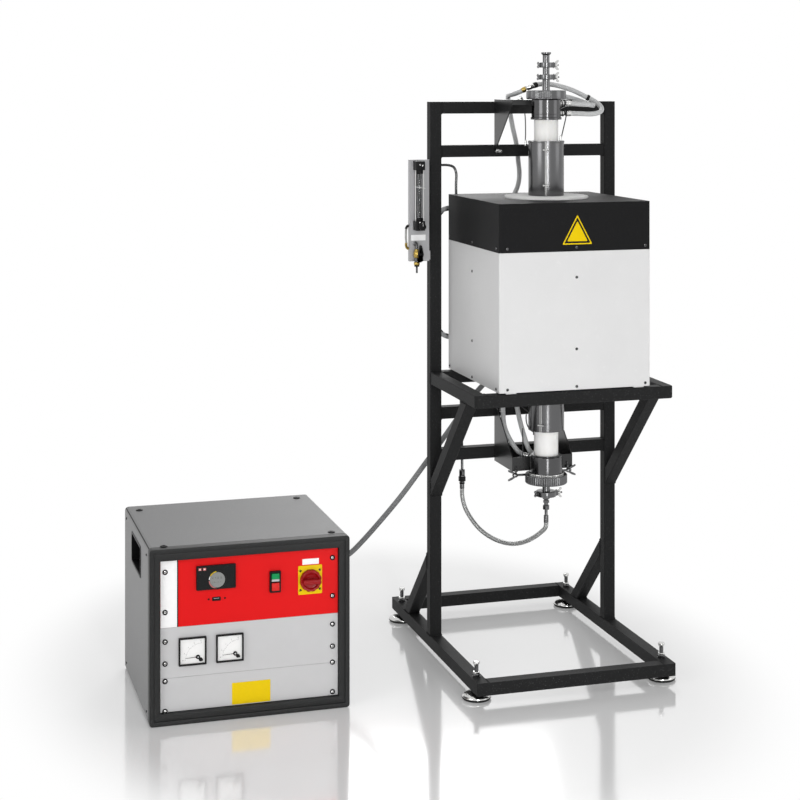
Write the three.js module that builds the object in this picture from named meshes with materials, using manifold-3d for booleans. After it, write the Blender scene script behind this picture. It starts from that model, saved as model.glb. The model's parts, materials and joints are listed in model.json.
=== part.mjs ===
// Vertical tube furnace: a welded stand of square tube carries a square furnace case on a
// shelf, a ceramic work tube stands through the case between two water-cooled sealing heads,
// and a control cabinet beside the stand is joined to the furnace by its power cable.
// Millimetres, +Z up. Inside the assembly group X is 0 on the middle of the stand, Y is 0 on
// the axis of the work tube (the front is towards -Y) and Z is 0 on the floor.
import * as THREE from 'three';
import { mergeVertices } from 'three/addons/utils/BufferGeometryUtils.js';
import Module from 'manifold-3d';

const wasm = await Module();
wasm.setup();

// Clearance kept between pieces that touch
const GAP = 0.3;

// Stand, of square steel tube
const TUBE = 35;
const STAND_HALF = 295;
const BASE_FRONT = -244;
const BASE_BACK = 586;
const BASE_LOW = 25;
const BASE_TOP = BASE_LOW + TUBE;
const POST_FRONT = 180;
const POST_BACK = POST_FRONT + TUBE;
const POST_TOP = 1636;
const BACK_RAIL_TOPS = [609, 733, 838, 1507];
const SHELF_FRONT = -230;
const SHELF_TOP = 838;
const SHELF_CORNER = 12;
const WATER_LUG = { left: -84, right: -14, back: 262, low: 712, top: 720 };
const SHELF_BRACE_SUM = 651;
const REAR_BRACE_SUM = 463;
const BRACE_WIDTH = TUBE * Math.SQRT2;
const TUBE_EDGE = 2;
const FOOT_X = STAND_HALF - TUBE / 2;
const FOOT_Y = [-186, 534];
const FOOT_RADIUS = 40;
const STUD_RADIUS = 6;
const STUD_TOP = 103;

// Furnace case
const CASE = 450;
const CASE_LOW = 841;
const COVER_LOW = 1225;
const COVER_TOP = 1360;
const SHEET = 2;
const CASE_CORNER = 4;
const BOSS_RADIUS = 121;
const BOSS_TOP = 1363.5;
const BORE_RADIUS = 62;
const BORE_LOW = 878;
const BORE_TOP = 1322;

// Work tube and its two heat shields
const CERAMIC_RADIUS = 35;
const CERAMIC_BORE = 30;
const CERAMIC_LOW = 583;
const CERAMIC_TOP = 1622;
const SHIELD_RADIUS = 51.5;
const SHIELD_TOP = 1524;
const SHIELD_LOW = 688;
const SHIELD_SHEET = 1.5;
const THERMOCOUPLE = { x: 60, z: 1000 };

// Rear terminal box, the conduit that climbs to the cover and the gland of the power cable
const TERMINAL = { left: 40, right: 210, low: 845, top: 1060, back: 285 };
const CONDUIT = { y: 272, low: 925, high: 1316, radius: 7 };
const GLAND = { y: 255, z: 865, length: 20 };

// Sealing heads and vacuum flanges
const UPPER_HEAD = { low: 1586, top: 1644, radius: 42.4 };
const LOWER_HEAD = { low: 561, top: 615, radius: 47 };
const RING_HEIGHT = 26;
const UPPER_RING_RADIUS = 57.5;
const LOWER_RING_RADIUS = 61;
const FLUTES = 40;
const NECK_RADIUS = 11;
const NECK_BORE = 8;
const FLANGE_RADIUS = 15;
const FLANGE_EDGE = 3;
const NECK_JOINT = 1709;
const CAP_JOINT = 1743.7;
const CAP_TOP = 1781;
const LOWER_JOINT = 502.6;
const LOWER_FLANGE_RADIUS = 20;
const ADAPTER_END = 418;
const UPPER_PORTS = [1603, 1632];
const LOWER_PORT = 603;
const BRACKET = { left: -95, right: 92, front: 26, back: POST_FRONT - GAP, sheet: 3 };
const UPPER_PLATE = 1640;
const LOWER_PLATE = 566;
const HOSE_RADIUS = 7.2;
const GAS_HOSE_RADIUS = 6.5;
const CABLE_RADIUS = 8;
const GAS_TUBE = { x: -178, y: 235, end: 476, radius: 4 };

// Flow meter panel, on the outside of the left post
const FLOW = { x: -334, y: 163, left: -359, right: -299, top: 1466, low: 1167, flange: 15 };
const VALVE = { x: -342, lever: -337, y: 163, z: 1191 };
const METER_TUBE_RADIUS = 7;
const METER_BLOCKS = {
  left: 16, right: 15, front: 15, back: 16, low: 1259, seat: 1287, rest: 1436, top: 1463,
};
const SOCKET_DEPTH = 8;
const NEEDLE_VALVE_Z = 1272;
const METER_OUTLET_Z = 1446;

// Control cabinet and its nineteen inch panels
const CABINET = { x: -1171.5, y: -152, width: 543, depth: 490, height: 465 };
const RACK_WIDTH = 482.6;
const RACK_UNIT = 44.45;
const RACK_LOW = 32;
const RECESS = 14;
const PANEL = 3;
const CABINET_CORNER = 10;
const FRAME_DEPTH = 30;
const HANDLE = { front: 166, back: 337, low: 352, top: 429, depth: 23 };
const LOUVRES = { left: 150, right: 393, low: 230, pitch: 20, count: 8, height: 6 };
const CABINET_GLAND = { x: 381.5, z: 90, length: 26 };
const METERS = { left: 115.5, right: 215.5, z: 188, size: 74 };
const DISPLAY = { x0: 125.4, x1: 231.4, z0: 347, z1: 411.5 };
const SWITCH = { x: 338.5, z: 354, width: 30, height: 57 };
const BUTTON = { size: 21, offset: 12.5, travel: 4 };
const ISOLATOR = { x: 435.7, z: 350, radius: 30, grip: 23, gripHalf: 6 };

const finish = (color, roughness, metalness) =>
  new THREE.MeshStandardMaterial({ color, roughness, metalness });
const charcoal = finish(0x2b2b2b, 0.5, 0.3);
const blackPaint = finish(0x1f1f1f, 0.55, 0.2);
const paleGrey = finish(0xdcdcdc, 0.5, 0.1);
const fibre = finish(0xf2f2ee, 0.95, 0);
const ceramic = finish(0xf4f2ea, 0.45, 0);
const steel = finish(0xb8bcc0, 0.25, 0.95);
const brass = finish(0xb08d45, 0.35, 0.9);
const hoseGrey = finish(0xc6c8ca, 0.5, 0);
const cableGrey = finish(0x77797b, 0.6, 0);
const cabinetGrey = finish(0x9a9a9a, 0.5, 0.2);
const frameGrey = finish(0x3b3c3c, 0.5, 0.2);
const panelRed = finish(0xe2181c, 0.45, 0);
const panelGrey = finish(0xc8c8c8, 0.5, 0.1);
const blackPlastic = finish(0x161616, 0.4, 0);
const green = finish(0x169a52, 0.4, 0);
const red = finish(0xc01a1a, 0.4, 0);
const white = finish(0xf0f0ee, 0.4, 0);
const glass = finish(0xd8e6ea, 0.1, 0);

const assembly = new THREE.Group();
const cabinet = new THREE.Group();
cabinet.position.set(CABINET.x, CABINET.y, 0);
assembly.add(cabinet);

// Welds a geometry's vertices and turns it right side out if its volume is negative.
function closed(geometry) {
  const bare = geometry.clone();
  bare.deleteAttribute('normal');
  bare.deleteAttribute('uv');
  const welded = mergeVertices(bare, 1e-4);
  const p = welded.attributes.position;
  const index = welded.index.array;
  const [a, b, c] = [new THREE.Vector3(), new THREE.Vector3(), new THREE.Vector3()];
  let volume = 0;
  for (let i = 0; i < index.length; i += 3) {
    a.fromBufferAttribute(p, index[i]);
    b.fromBufferAttribute(p, index[i + 1]);
    c.fromBufferAttribute(p, index[i + 2]);
    volume += a.dot(b.cross(c));
  }
  if (volume < 0) {
    for (let i = 0; i < index.length; i += 3) {
      [index[i + 1], index[i + 2]] = [index[i + 2], index[i + 1]];
    }
  }
  return welded;
}

function toSolid(geometry) {
  const welded = closed(geometry);
  return new wasm.Manifold(new wasm.Mesh({
    numProp: 3,
    vertProperties: new Float32Array(welded.attributes.position.array),
    triVerts: new Uint32Array(welded.index.array),
  }));
}

function fromSolid(solid) {
  const mesh = solid.getMesh();
  const geometry = new THREE.BufferGeometry();
  geometry.setAttribute('position', new THREE.BufferAttribute(mesh.vertProperties, 3));
  geometry.setIndex(new THREE.BufferAttribute(mesh.triVerts, 1));
  return geometry;
}

function fuse(...geometries) {
  return fromSolid(geometries.map(toSolid).reduce((sum, next) => sum.add(next)));
}

function cut(geometry, ...tools) {
  return fromSolid(tools.map(toSolid).reduce((rest, tool) => rest.subtract(tool), toSolid(geometry)));
}

function add(name, geometry, material, parent = assembly) {
  const welded = closed(geometry);
  welded.computeVertexNormals();
  const mesh = new THREE.Mesh(welded, material.clone());
  mesh.name = name;
  parent.add(mesh);
  return mesh;
}

// Block between two corners
function block(x0, x1, y0, y1, z0, z1) {
  const box = new THREE.BoxGeometry(x1 - x0, y1 - y0, z1 - z0);
  return box.translate((x0 + x1) / 2, (y0 + y1) / 2, (z0 + z1) / 2);
}

// Points along an arc, from one angle to another in degrees
function arcPoints(x, y, radius, from, to, steps) {
  return Array.from({ length: steps + 1 }, (_, i) => {
    const angle = THREE.MathUtils.degToRad(from + (to - from) * i / steps);
    return new THREE.Vector2(x + radius * Math.cos(angle), y + radius * Math.sin(angle));
  });
}

// Outline of a rectangle with round corners, in the plane of the shape
function rounded(x0, x1, y0, y1, radius, Kind = THREE.Shape, steps = 2) {
  return new Kind([
    ...arcPoints(x1 - radius, y0 + radius, radius, -90, 0, steps),
    ...arcPoints(x1 - radius, y1 - radius, radius, 0, 90, steps),
    ...arcPoints(x0 + radius, y1 - radius, radius, 90, 180, steps),
    ...arcPoints(x0 + radius, y0 + radius, radius, 180, 270, steps)]);
}

function rectangle(x0, x1, y0, y1, Kind = THREE.Path) {
  return new Kind([[x0, y0], [x1, y0], [x1, y1], [x0, y1]].map(([x, y]) => new THREE.Vector2(x, y)));
}

function circle(x, y, radius, segments = 24) {
  return new THREE.Path(arcPoints(x, y, radius, 0, 360 * (1 - 1 / segments), segments - 1));
}

function polygon(points) {
  return new THREE.Shape(points.map(([x, y]) => new THREE.Vector2(x, y)));
}

// Plate of a given outline from z0 to z1; an edge above 0 rounds its rims
function plate(shape, z0, z1, edge = 0) {
  const options = { depth: z1 - z0 - 2 * edge, bevelEnabled: edge > 0 };
  if (edge > 0) {
    Object.assign(options, { bevelThickness: edge, bevelSize: edge, bevelOffset: -edge, bevelSegments: 1 });
  }
  return new THREE.ExtrudeGeometry(shape, options).translate(0, 0, z0 + edge);
}

// Turns a plate drawn in (x, z) so that its thickness ends at y1 at the back
function facingFront(geometry, y1) {
  const turn = new THREE.Matrix4().makeBasis(
    new THREE.Vector3(1, 0, 0), new THREE.Vector3(0, 0, 1), new THREE.Vector3(0, -1, 0));
  return geometry.applyMatrix4(turn).translate(0, y1, 0);
}

// Turns a plate drawn in (y, z) so that its thickness runs along X
function facingSide(geometry, x0) {
  const turn = new THREE.Matrix4().makeBasis(
    new THREE.Vector3(0, 1, 0), new THREE.Vector3(0, 0, 1), new THREE.Vector3(1, 0, 0));
  return geometry.applyMatrix4(turn).translate(x0, 0, 0);
}

// Solid of revolution about Z from [radius, height] pairs; a ring's profile closes on itself
function revolve(profile, segments = 32) {
  const points = profile.map(([r, z]) => new THREE.Vector2(r, z));
  if (profile[0][0] > 0) {
    points.push(points[0].clone());
  }
  return new THREE.LatheGeometry(points, segments).rotateX(Math.PI / 2);
}

// Round bar along an axis letter between two stations
function bar(axis, radius, from, to, [u, v], segments = 16) {
  const rod = new THREE.CylinderGeometry(radius, radius, to - from, segments);
  const middle = (from + to) / 2;
  if (axis === 'x') {
    return rod.rotateZ(Math.PI / 2).translate(middle, u, v);
  }
  if (axis === 'y') {
    return rod.translate(u, middle, v);
  }
  return rod.rotateX(Math.PI / 2).translate(u, v, middle);
}

// Hexagon bar along Z, width measured across its flats
function hexagon(acrossFlats, z0, z1, x, y) {
  return bar('z', acrossFlats / Math.sqrt(3), z0, z1, [x, y], 6);
}

// Round tube filled solid along a smooth curve through route points
function alongRoute(route, radius, sides, steps) {
  const points = route.map(([x, y, z]) => new THREE.Vector3(x, y, z));
  const path = new THREE.CatmullRomCurve3(points, false, 'centripetal');
  const section = new THREE.Shape();
  for (let i = 0; i < sides; i += 1) {
    const angle = (i + 0.5) * 2 * Math.PI / sides;
    const [x, y] = [radius * Math.cos(angle), radius * Math.sin(angle)];
    if (i === 0) {
      section.moveTo(x, y);
    } else {
      section.lineTo(x, y);
    }
  }
  section.closePath();
  return new THREE.ExtrudeGeometry(section, { steps, bevelEnabled: false, extrudePath: path });
}

// Welded stand
function baseFrame() {
  const outline = rounded(-STAND_HALF, STAND_HALF, BASE_FRONT, BASE_BACK, TUBE_EDGE);
  outline.holes.push(rectangle(-STAND_HALF + TUBE, STAND_HALF - TUBE, BASE_FRONT + TUBE,
    BASE_BACK - TUBE));
  for (const x of [-FOOT_X, FOOT_X]) {
    for (const y of FOOT_Y) {
      outline.holes.push(circle(x, y, STUD_RADIUS + 2 * GAP, 12));
    }
  }
  const ring = plate(outline, BASE_LOW, BASE_TOP);
  // A rear brace climbs at 45 degrees from the base to the back of each post.
  const low = BASE_TOP - 1;
  const back = POST_BACK + GAP;
  const brace = polygon([
    [back, REAR_BRACE_SUM - back], [REAR_BRACE_SUM - low, low],
    [REAR_BRACE_SUM + BRACE_WIDTH - low, low], [back, REAR_BRACE_SUM + BRACE_WIDTH - back]]);
  const braces = [-STAND_HALF, STAND_HALF - TUBE].map(
    (x) => facingSide(plate(brace, 0, TUBE, TUBE_EDGE), x));
  return fuse(ring, ...braces);
}

function backFrame() {
  const inner = STAND_HALF - TUBE;
  const [lowest, second, shelf, high] = BACK_RAIL_TOPS;
  const foot = BASE_TOP + GAP;
  const outline = polygon([
    [-STAND_HALF, foot], [-inner, foot], [-inner, lowest - TUBE], [inner, lowest - TUBE],
    [inner, foot], [STAND_HALF, foot], [STAND_HALF, POST_TOP], [-STAND_HALF, POST_TOP]]);
  const openings = [[lowest, second - TUBE], [second, shelf - TUBE], [shelf, high - TUBE],
    [high, POST_TOP - TUBE]];
  for (const [z0, z1] of openings) {
    outline.holes.push(rectangle(-inner, inner, z0, z1));
  }
  // The lug behind the second rail holds the ends of the cooling water hoses.
  const lug = block(WATER_LUG.left, WATER_LUG.right, POST_BACK - 5, WATER_LUG.back,
    WATER_LUG.low, WATER_LUG.top);
  return fuse(facingFront(plate(outline, 0, TUBE, TUBE_EDGE), POST_BACK), lug);
}

function shelfFrame() {
  const inner = STAND_HALF - TUBE;
  const back = POST_FRONT - GAP;
  const front = SHELF_FRONT;
  const corner = SHELF_CORNER;
  const outline = new THREE.Shape([
    new THREE.Vector2(-inner, back), new THREE.Vector2(-STAND_HALF, back),
    ...arcPoints(-STAND_HALF + corner, front + corner, corner, 180, 270, 4),
    ...arcPoints(STAND_HALF - corner, front + corner, corner, 270, 360, 4),
    new THREE.Vector2(STAND_HALF, back), new THREE.Vector2(inner, back),
    new THREE.Vector2(inner, front + TUBE), new THREE.Vector2(-inner, front + TUBE)]);
  const frame = plate(outline, SHELF_TOP - TUBE, SHELF_TOP, TUBE_EDGE);
  // A brace under each side rail runs at 45 degrees down to the front of the post.
  const top = SHELF_TOP - TUBE + 1;
  const brace = polygon([
    [back, SHELF_BRACE_SUM - back], [back, SHELF_BRACE_SUM + BRACE_WIDTH - back],
    [SHELF_BRACE_SUM + BRACE_WIDTH - top, top], [SHELF_BRACE_SUM - top, top]]);
  const braces = [-STAND_HALF, inner].map((x) => facingSide(plate(brace, 0, TUBE, TUBE_EDGE), x));
  return fuse(frame, ...braces);
}

// Domed steel foot on a threaded stud, with a carrying nut, a lock nut and a hexagon head
function levellingFoot(x, y) {
  const body = revolve([
    [0, 0], [FOOT_RADIUS, 0], [FOOT_RADIUS, 5], [FOOT_RADIUS - 5, 8], [14, 12], [9, 15],
    [STUD_RADIUS, 16], [STUD_RADIUS, STUD_TOP - 2], [0, STUD_TOP - 2]], 16).translate(x, y, 0);
  return fuse(
    body,
    hexagon(19, 15.5, BASE_LOW - GAP, x, y),
    hexagon(19, BASE_TOP + GAP, BASE_TOP + 9, x, y),
    hexagon(16, STUD_TOP - 9, STUD_TOP, x, y));
}

add('base_frame', baseFrame(), charcoal);
add('back_frame', backFrame(), charcoal);
add('shelf_frame', shelfFrame(), charcoal);
for (const [side, x] of [['left', -FOOT_X], ['right', FOOT_X]]) {
  add(`levelling_foot_front_${side}`, levellingFoot(x, FOOT_Y[0]), steel);
  add(`levelling_foot_back_${side}`, levellingFoot(x, FOOT_Y[1]), steel);
}

// Furnace case, insulation and heater
const HALF = CASE / 2;

function caseShell() {
  const outline = rounded(-HALF, HALF, -HALF, HALF, CASE_CORNER);
  const walls = rounded(-HALF, HALF, -HALF, HALF, CASE_CORNER);
  walls.holes.push(rounded(-HALF + SHEET, HALF - SHEET, -HALF + SHEET, HALF - SHEET,
    CASE_CORNER - SHEET, THREE.Path));
  outline.holes.push(circle(0, 0, CERAMIC_RADIUS + 3));
  const pads = [];
  for (const x of [-190, 190]) {
    for (const y of [SHELF_FRONT + TUBE / 2, POST_FRONT + TUBE / 2]) {
      pads.push(block(x - 15, x + 15, y - 13, y + 13, SHELF_TOP + GAP, CASE_LOW + 0.5));
    }
  }
  return fuse(plate(walls, CASE_LOW, COVER_LOW - GAP),
    plate(outline, CASE_LOW, CASE_LOW + SHEET), ...pads);
}

function topCover() {
  const outline = rounded(-HALF, HALF, -HALF, HALF, CASE_CORNER);
  const walls = rounded(-HALF, HALF, -HALF, HALF, CASE_CORNER);
  walls.holes.push(rounded(-HALF + SHEET, HALF - SHEET, -HALF + SHEET, HALF - SHEET,
    CASE_CORNER - SHEET, THREE.Path));
  outline.holes.push(circle(0, 0, BOSS_RADIUS + GAP, 40));
  return fuse(plate(walls, COVER_LOW, COVER_TOP),
    plate(outline, COVER_TOP - SHEET, COVER_TOP));
}

function insulation() {
  const inside = HALF - SHEET - 1;
  const low = CASE_LOW + SHEET + GAP;
  const body = block(-inside, inside, -inside, inside, low, COVER_TOP - SHEET - GAP);
  const boss = bar('z', BOSS_RADIUS, low, BOSS_TOP, [0, 0], 40);
  const clear = CERAMIC_RADIUS + 2;
  const bore = revolve([
    [0, low - 5], [clear, low - 5], [clear, BORE_LOW], [BORE_RADIUS, BORE_LOW],
    [BORE_RADIUS, BORE_TOP], [clear, BORE_TOP], [clear, BOSS_TOP + 5], [0, BOSS_TOP + 5]], 28);
  const sheath = bar('y', 4, 0, HALF, [THERMOCOUPLE.x, THERMOCOUPLE.z], 10);
  return cut(fuse(body, boss), bore, sheath);
}

// Ceramic former with grooves on its inside, where the heating wire lies
function heater() {
  const outer = BORE_RADIUS - 1;
  const [low, top] = [BORE_LOW + GAP, BORE_TOP - GAP];
  const profile = [[outer, low], [outer, top]];
  const grooves = 5;
  const pitch = (top - low) / grooves;
  for (let i = grooves; i > 0; i -= 1) {
    const rim = low + i * pitch;
    profile.push([46, rim], [46, rim - pitch * 0.3], [51, rim - pitch * 0.4], [51, rim - pitch * 0.9]);
  }
  profile.push([46, low]);
  return revolve(profile, 12);
}

add('case_shell', cut(caseShell(), bar('y', 5, HALF - 10, HALF + 5,
  [THERMOCOUPLE.x, THERMOCOUPLE.z], 12)), paleGrey);
add('top_cover', topCover(), blackPaint);
add('insulation_block', insulation(), fibre);
add('heater_module', heater(), ceramic);
add('work_tube', revolve([
  [CERAMIC_BORE, CERAMIC_LOW], [CERAMIC_RADIUS, CERAMIC_LOW],
  [CERAMIC_RADIUS, CERAMIC_TOP], [CERAMIC_BORE, CERAMIC_TOP]], 32), ceramic);

// Sheet metal cylinder round the tube, closed by a ring at its outer end
function heatShield(radius, low, top, closedAtTop) {
  const [inner, tube, skin] = [radius - SHIELD_SHEET, CERAMIC_RADIUS + 2, SHIELD_SHEET];
  const profile = closedAtTop
    ? [[inner, low], [radius, low], [radius, top], [tube, top], [tube, top - skin], [inner, top - skin]]
    : [[tube, low], [radius, low], [radius, top], [inner, top], [inner, low + skin], [tube, low + skin]];
  return revolve(profile, 28);
}
add('upper_heat_shield', heatShield(SHIELD_RADIUS, BOSS_TOP + GAP, SHIELD_TOP, true), steel);
add('lower_heat_shield', heatShield(SHIELD_RADIUS + 0.5, SHIELD_LOW, CASE_LOW - GAP, false), steel);

// Rear terminal box with the conduit that climbs behind the left post and back to the cover,
// and the thermocouple sheath that reaches through the case to the heater
function terminalBox() {
  const front = HALF + GAP;
  const { left, right, low, top, back } = TERMINAL;
  const body = facingFront(plate(rounded(left, right, low, top, 6), 0, back - front, 2), back);
  const { y, low: start, high: end, radius } = CONDUIT;
  const conduit = alongRoute([
    [left + 5, y, start], [-40, y, start], [-175, y, start - 2],
    [-222, y, start + 7], [-248, y, start + 35], [-252, y, start + 85], [-252, y, 1120],
    [-252, y, 1230], [-247, y, end - 31], [-222, y, end - 4], [-182, y - 4, end],
    [-148, y - 10, end], [-134, y - 26, end], [-134, front, end]], radius, 8, 26);
  const gland = fuse(bar('x', 17, left - 8, left + 1, [GLAND.y, GLAND.z], 6),
    bar('x', 12, left - GLAND.length, left, [GLAND.y, GLAND.z], 16));
  const sheath = bar('y', 3, BORE_RADIUS, front + 2, [THERMOCOUPLE.x, THERMOCOUPLE.z], 8);
  return fuse(body, conduit, gland, cut(sheath, bar('z', BORE_RADIUS + 1, BORE_LOW, BORE_TOP, [0, 0], 40)));
}
add('terminal_box', terminalBox(), frameGrey);

// Upper sealing head, its union ring and the small vacuum flanges above it
function upperHead() {
  const { low, top, radius } = UPPER_HEAD;
  const clear = CERAMIC_RADIUS + 0.5;
  const body = revolve([
    [clear, low], [radius + 2.6, low], [radius + 2.6, low + 6], [radius, low + 6], [radius, top],
    [radius - 1.4, top], [radius - 1.4, top + 12], [20, top + 12], [20, CERAMIC_TOP + 3],
    [clear, CERAMIC_TOP + 3]], 24);
  const ports = UPPER_PORTS.map((z) => fuse(
    bar('x', 8, radius - 4, radius + 10, [8, z], 6), bar('x', 5.5, radius, radius + 20, [8, z], 12)));
  return fuse(body, ...ports);
}

function lowerHead() {
  const { low, top, radius } = LOWER_HEAD;
  const clear = CERAMIC_RADIUS + 0.5;
  const body = revolve([
    [20, low - 12], [radius - 2, low - 12], [radius - 2, low], [radius, low], [radius, top - 3],
    [radius - 3, top], [clear, top], [clear, CERAMIC_LOW - 3], [20, CERAMIC_LOW - 3]], 24);
  const ports = [[-14, 56], [-34, 46]].map(([x, y]) => {
    const length = Math.hypot(x, y);
    return bar('y', 5.5, radius - 6, length, [0, 0], 12)
      .rotateZ(Math.atan2(y, x) - Math.PI / 2).translate(0, 0, LOWER_PORT);
  });
  return fuse(body, ...ports);
}

// Fluted ring with an inner lip: the rim steps in and out by one millimetre, flute by flute
function unionRing(radius, low, lipBelow) {
  const rim = new THREE.Shape(Array.from({ length: FLUTES * 2 }, (_, i) => {
    const angle = i * Math.PI / FLUTES;
    const r = radius - (i % 2);
    return new THREE.Vector2(r * Math.cos(angle), r * Math.sin(angle));
  }));
  const top = low + RING_HEIGHT;
  const [wide, narrow] = [radius - 12, radius - 20];
  const ledge = lipBelow ? low + 6 : top - 6;
  const [first, second] = lipBelow ? [narrow, wide] : [wide, narrow];
  const bore = revolve([
    [0, low - 1], [first, low - 1], [first, ledge], [second, ledge], [second, top + 1], [0, top + 1]], 20);
  return cut(plate(rim, low, top), bore);
}

// Disc under the union ring with a neck that ends in a tapered vacuum flange; up is 1 or -1
function endFlange(discRadius, discZ, jointZ, up, flangeRadius) {
  const seat = jointZ - up * GAP / 2;
  return revolve([
    [NECK_BORE, discZ], [discRadius, discZ], [discRadius, discZ + up * 6.5],
    [NECK_RADIUS, discZ + up * 6.5], [NECK_RADIUS, seat - up * 7], [flangeRadius, seat - up * FLANGE_EDGE],
    [flangeRadius, seat], [NECK_BORE, seat]], 16);
}

function nipple() {
  const [low, top] = [NECK_JOINT + GAP / 2, CAP_JOINT - GAP / 2];
  return revolve([
    [NECK_BORE, low], [FLANGE_RADIUS, low], [FLANGE_RADIUS, low + FLANGE_EDGE], [NECK_RADIUS - 1, low + 7],
    [NECK_RADIUS - 1, top - 7], [FLANGE_RADIUS, top - FLANGE_EDGE], [FLANGE_RADIUS, top],
    [NECK_BORE, top]], 16);
}

function ventPort() {
  const low = CAP_JOINT + GAP / 2;
  const rim = FLANGE_RADIUS - 0.5;
  return revolve([
    [NECK_BORE, low], [FLANGE_RADIUS, low], [FLANGE_RADIUS, low + FLANGE_EDGE], [NECK_RADIUS - 1, low + 7],
    [NECK_RADIUS - 1, CAP_TOP - 8], [rim, CAP_TOP - 5], [rim, CAP_TOP], [NECK_BORE, CAP_TOP]], 16);
}

// Two-part clamp band with its hinge lobe on one side and the swing bolt on the other
function flangeClamp(jointZ, flangeRadius, outer, reach) {
  const half = 7.5;
  const ring = revolve([
    [NECK_RADIUS + 0.8, -half], [outer, -half], [outer, half], [NECK_RADIUS + 0.8, half],
    [flangeRadius + 0.6, FLANGE_EDGE + 0.6], [flangeRadius + 0.6, -FLANGE_EDGE - 0.6]], 16);
  const lobe = fuse(block(-outer - 6, -outer + 2, -6, 6, -half, half),
    bar('z', 3, -half - 1.5, half + 1.5, [-outer - 4, 0], 10));
  const ears = block(outer - 2, outer + 5, -7, 7, -half + 1, half - 1);
  const bolt = bar('x', 2.5, outer, reach, [0, 0], 10);
  return fuse(ring, lobe, ears, bolt).translate(0, 0, jointZ);
}

// Nut with two flared wings, on a bolt along X
function wingNut(jointZ, from) {
  const hub = bar('x', 5.5, from, from + 8, [0, 0], 12);
  const wings = polygon([
    [from + 2, -4.5], [from + 9, -13], [from + 13, -12], [from + 8, -3], [from + 8, 3],
    [from + 13, 12], [from + 9, 13], [from + 2, 4.5]]);
  const leaves = facingFront(plate(wings, -1.3, 1.3), 0);
  const hole = bar('x', 2.8, from - 1, from + 14, [0, 0], 10);
  return cut(fuse(hub, leaves), hole).translate(0, 0, jointZ);
}

add('upper_head_body', upperHead(), steel);
add('upper_union_ring', unionRing(UPPER_RING_RADIUS, UPPER_HEAD.top + 2 * GAP, false), steel);
add('upper_end_flange', endFlange(43, UPPER_HEAD.top + 12 + GAP, NECK_JOINT, 1, FLANGE_RADIUS), steel);
add('upper_nipple', nipple(), steel);
add('vent_port', ventPort(), steel);
add('neck_clamp', flangeClamp(NECK_JOINT, FLANGE_RADIUS, 21, 40), steel);
add('cap_clamp', flangeClamp(CAP_JOINT, FLANGE_RADIUS, 20, 38), steel);
const NUT_STARTS = { neck: 26.4, cap: 25.4, lower: 34.4 };
add('neck_clamp_wing_nut', wingNut(NECK_JOINT, NUT_STARTS.neck), steel);
add('cap_clamp_wing_nut', wingNut(CAP_JOINT, NUT_STARTS.cap), steel);

const LOWER_RING_LOW = LOWER_HEAD.low - RING_HEIGHT - 2 * GAP;
add('lower_head_body', lowerHead(), steel);
add('lower_union_ring', unionRing(LOWER_RING_RADIUS, LOWER_RING_LOW, true), steel);
add('lower_end_flange',
  endFlange(47, LOWER_HEAD.low - 12 - GAP, LOWER_JOINT, -1, LOWER_FLANGE_RADIUS), steel);
add('lower_clamp', flangeClamp(LOWER_JOINT, LOWER_FLANGE_RADIUS, 29, 49), steel);
add('lower_clamp_wing_nut', wingNut(LOWER_JOINT, NUT_STARTS.lower), steel);

// Hose adapter under the lower clamp: flange, two nuts, a neck and the crimped ferrule
function gasAdapter() {
  const seat = LOWER_JOINT - GAP / 2;
  const stem = revolve([
    [0, ADAPTER_END], [7, ADAPTER_END], [7, 438], [4.5, 441], [4.5, 456], [6, 458], [6, 485],
    [NECK_RADIUS - 1, 487], [NECK_RADIUS - 1, seat - 7], [LOWER_FLANGE_RADIUS, seat - FLANGE_EDGE],
    [LOWER_FLANGE_RADIUS, seat], [0, seat]], 20);
  return fuse(stem, hexagon(18, 456, 469, 0, 0), hexagon(16, 475, 483, 0, 0));
}
add('gas_adapter', gasAdapter(), steel);

// Folded brackets that carry the heads from the back rails
function headBracket(plateZ, gussets, apronZ, notch, backLow, backTop) {
  const { left, right, front, back, sheet } = BRACKET;
  const floor = block(left, right, front, back, plateZ, plateZ + sheet);
  const apron = block(left, right, front, front + sheet, apronZ[0], apronZ[1]);
  const rear = block(left, right, back - sheet, back, backLow, backTop);
  const sides = [left, right - sheet].map(
    (x, side) => facingSide(plate(polygon(gussets[side]), 0, sheet), x));
  return cut(fuse(floor, apron, rear, ...sides), bar('z', notch, plateZ - 90, plateZ + 90, [0, 0], 40));
}

const UPPER_TOP = UPPER_PLATE + BRACKET.sheet;
const UPPER_APRON = UPPER_PLATE - 12;
const LOWER_APRON = LOWER_PLATE + 40;
const UPPER_REAR = UPPER_PLATE - 40;
const UPPER_GUSSETS = [
  [[BRACKET.front, UPPER_TOP], [BRACKET.front, UPPER_APRON + 2], [172, 1492], [BRACKET.back, 1486],
    [BRACKET.back, UPPER_TOP]],
  [[BRACKET.front, UPPER_TOP], [BRACKET.front, UPPER_APRON + 2], [BRACKET.back, UPPER_REAR + 4],
    [BRACKET.back, UPPER_TOP]]];
const LOWER_GUSSET = [[BRACKET.front, LOWER_PLATE], [BRACKET.front, LOWER_APRON], [152, 722],
  [BRACKET.back, 728], [BRACKET.back, LOWER_PLATE]];
add('upper_bracket', headBracket(UPPER_PLATE, UPPER_GUSSETS, [UPPER_APRON, UPPER_TOP],
  UPPER_HEAD.radius + 0.5, UPPER_REAR, UPPER_TOP), charcoal);
add('lower_bracket', headBracket(LOWER_PLATE, [LOWER_GUSSET, LOWER_GUSSET], [LOWER_PLATE, LOWER_APRON],
  LOWER_HEAD.radius + 0.5, LOWER_PLATE, LOWER_APRON - 4), charcoal);

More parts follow.
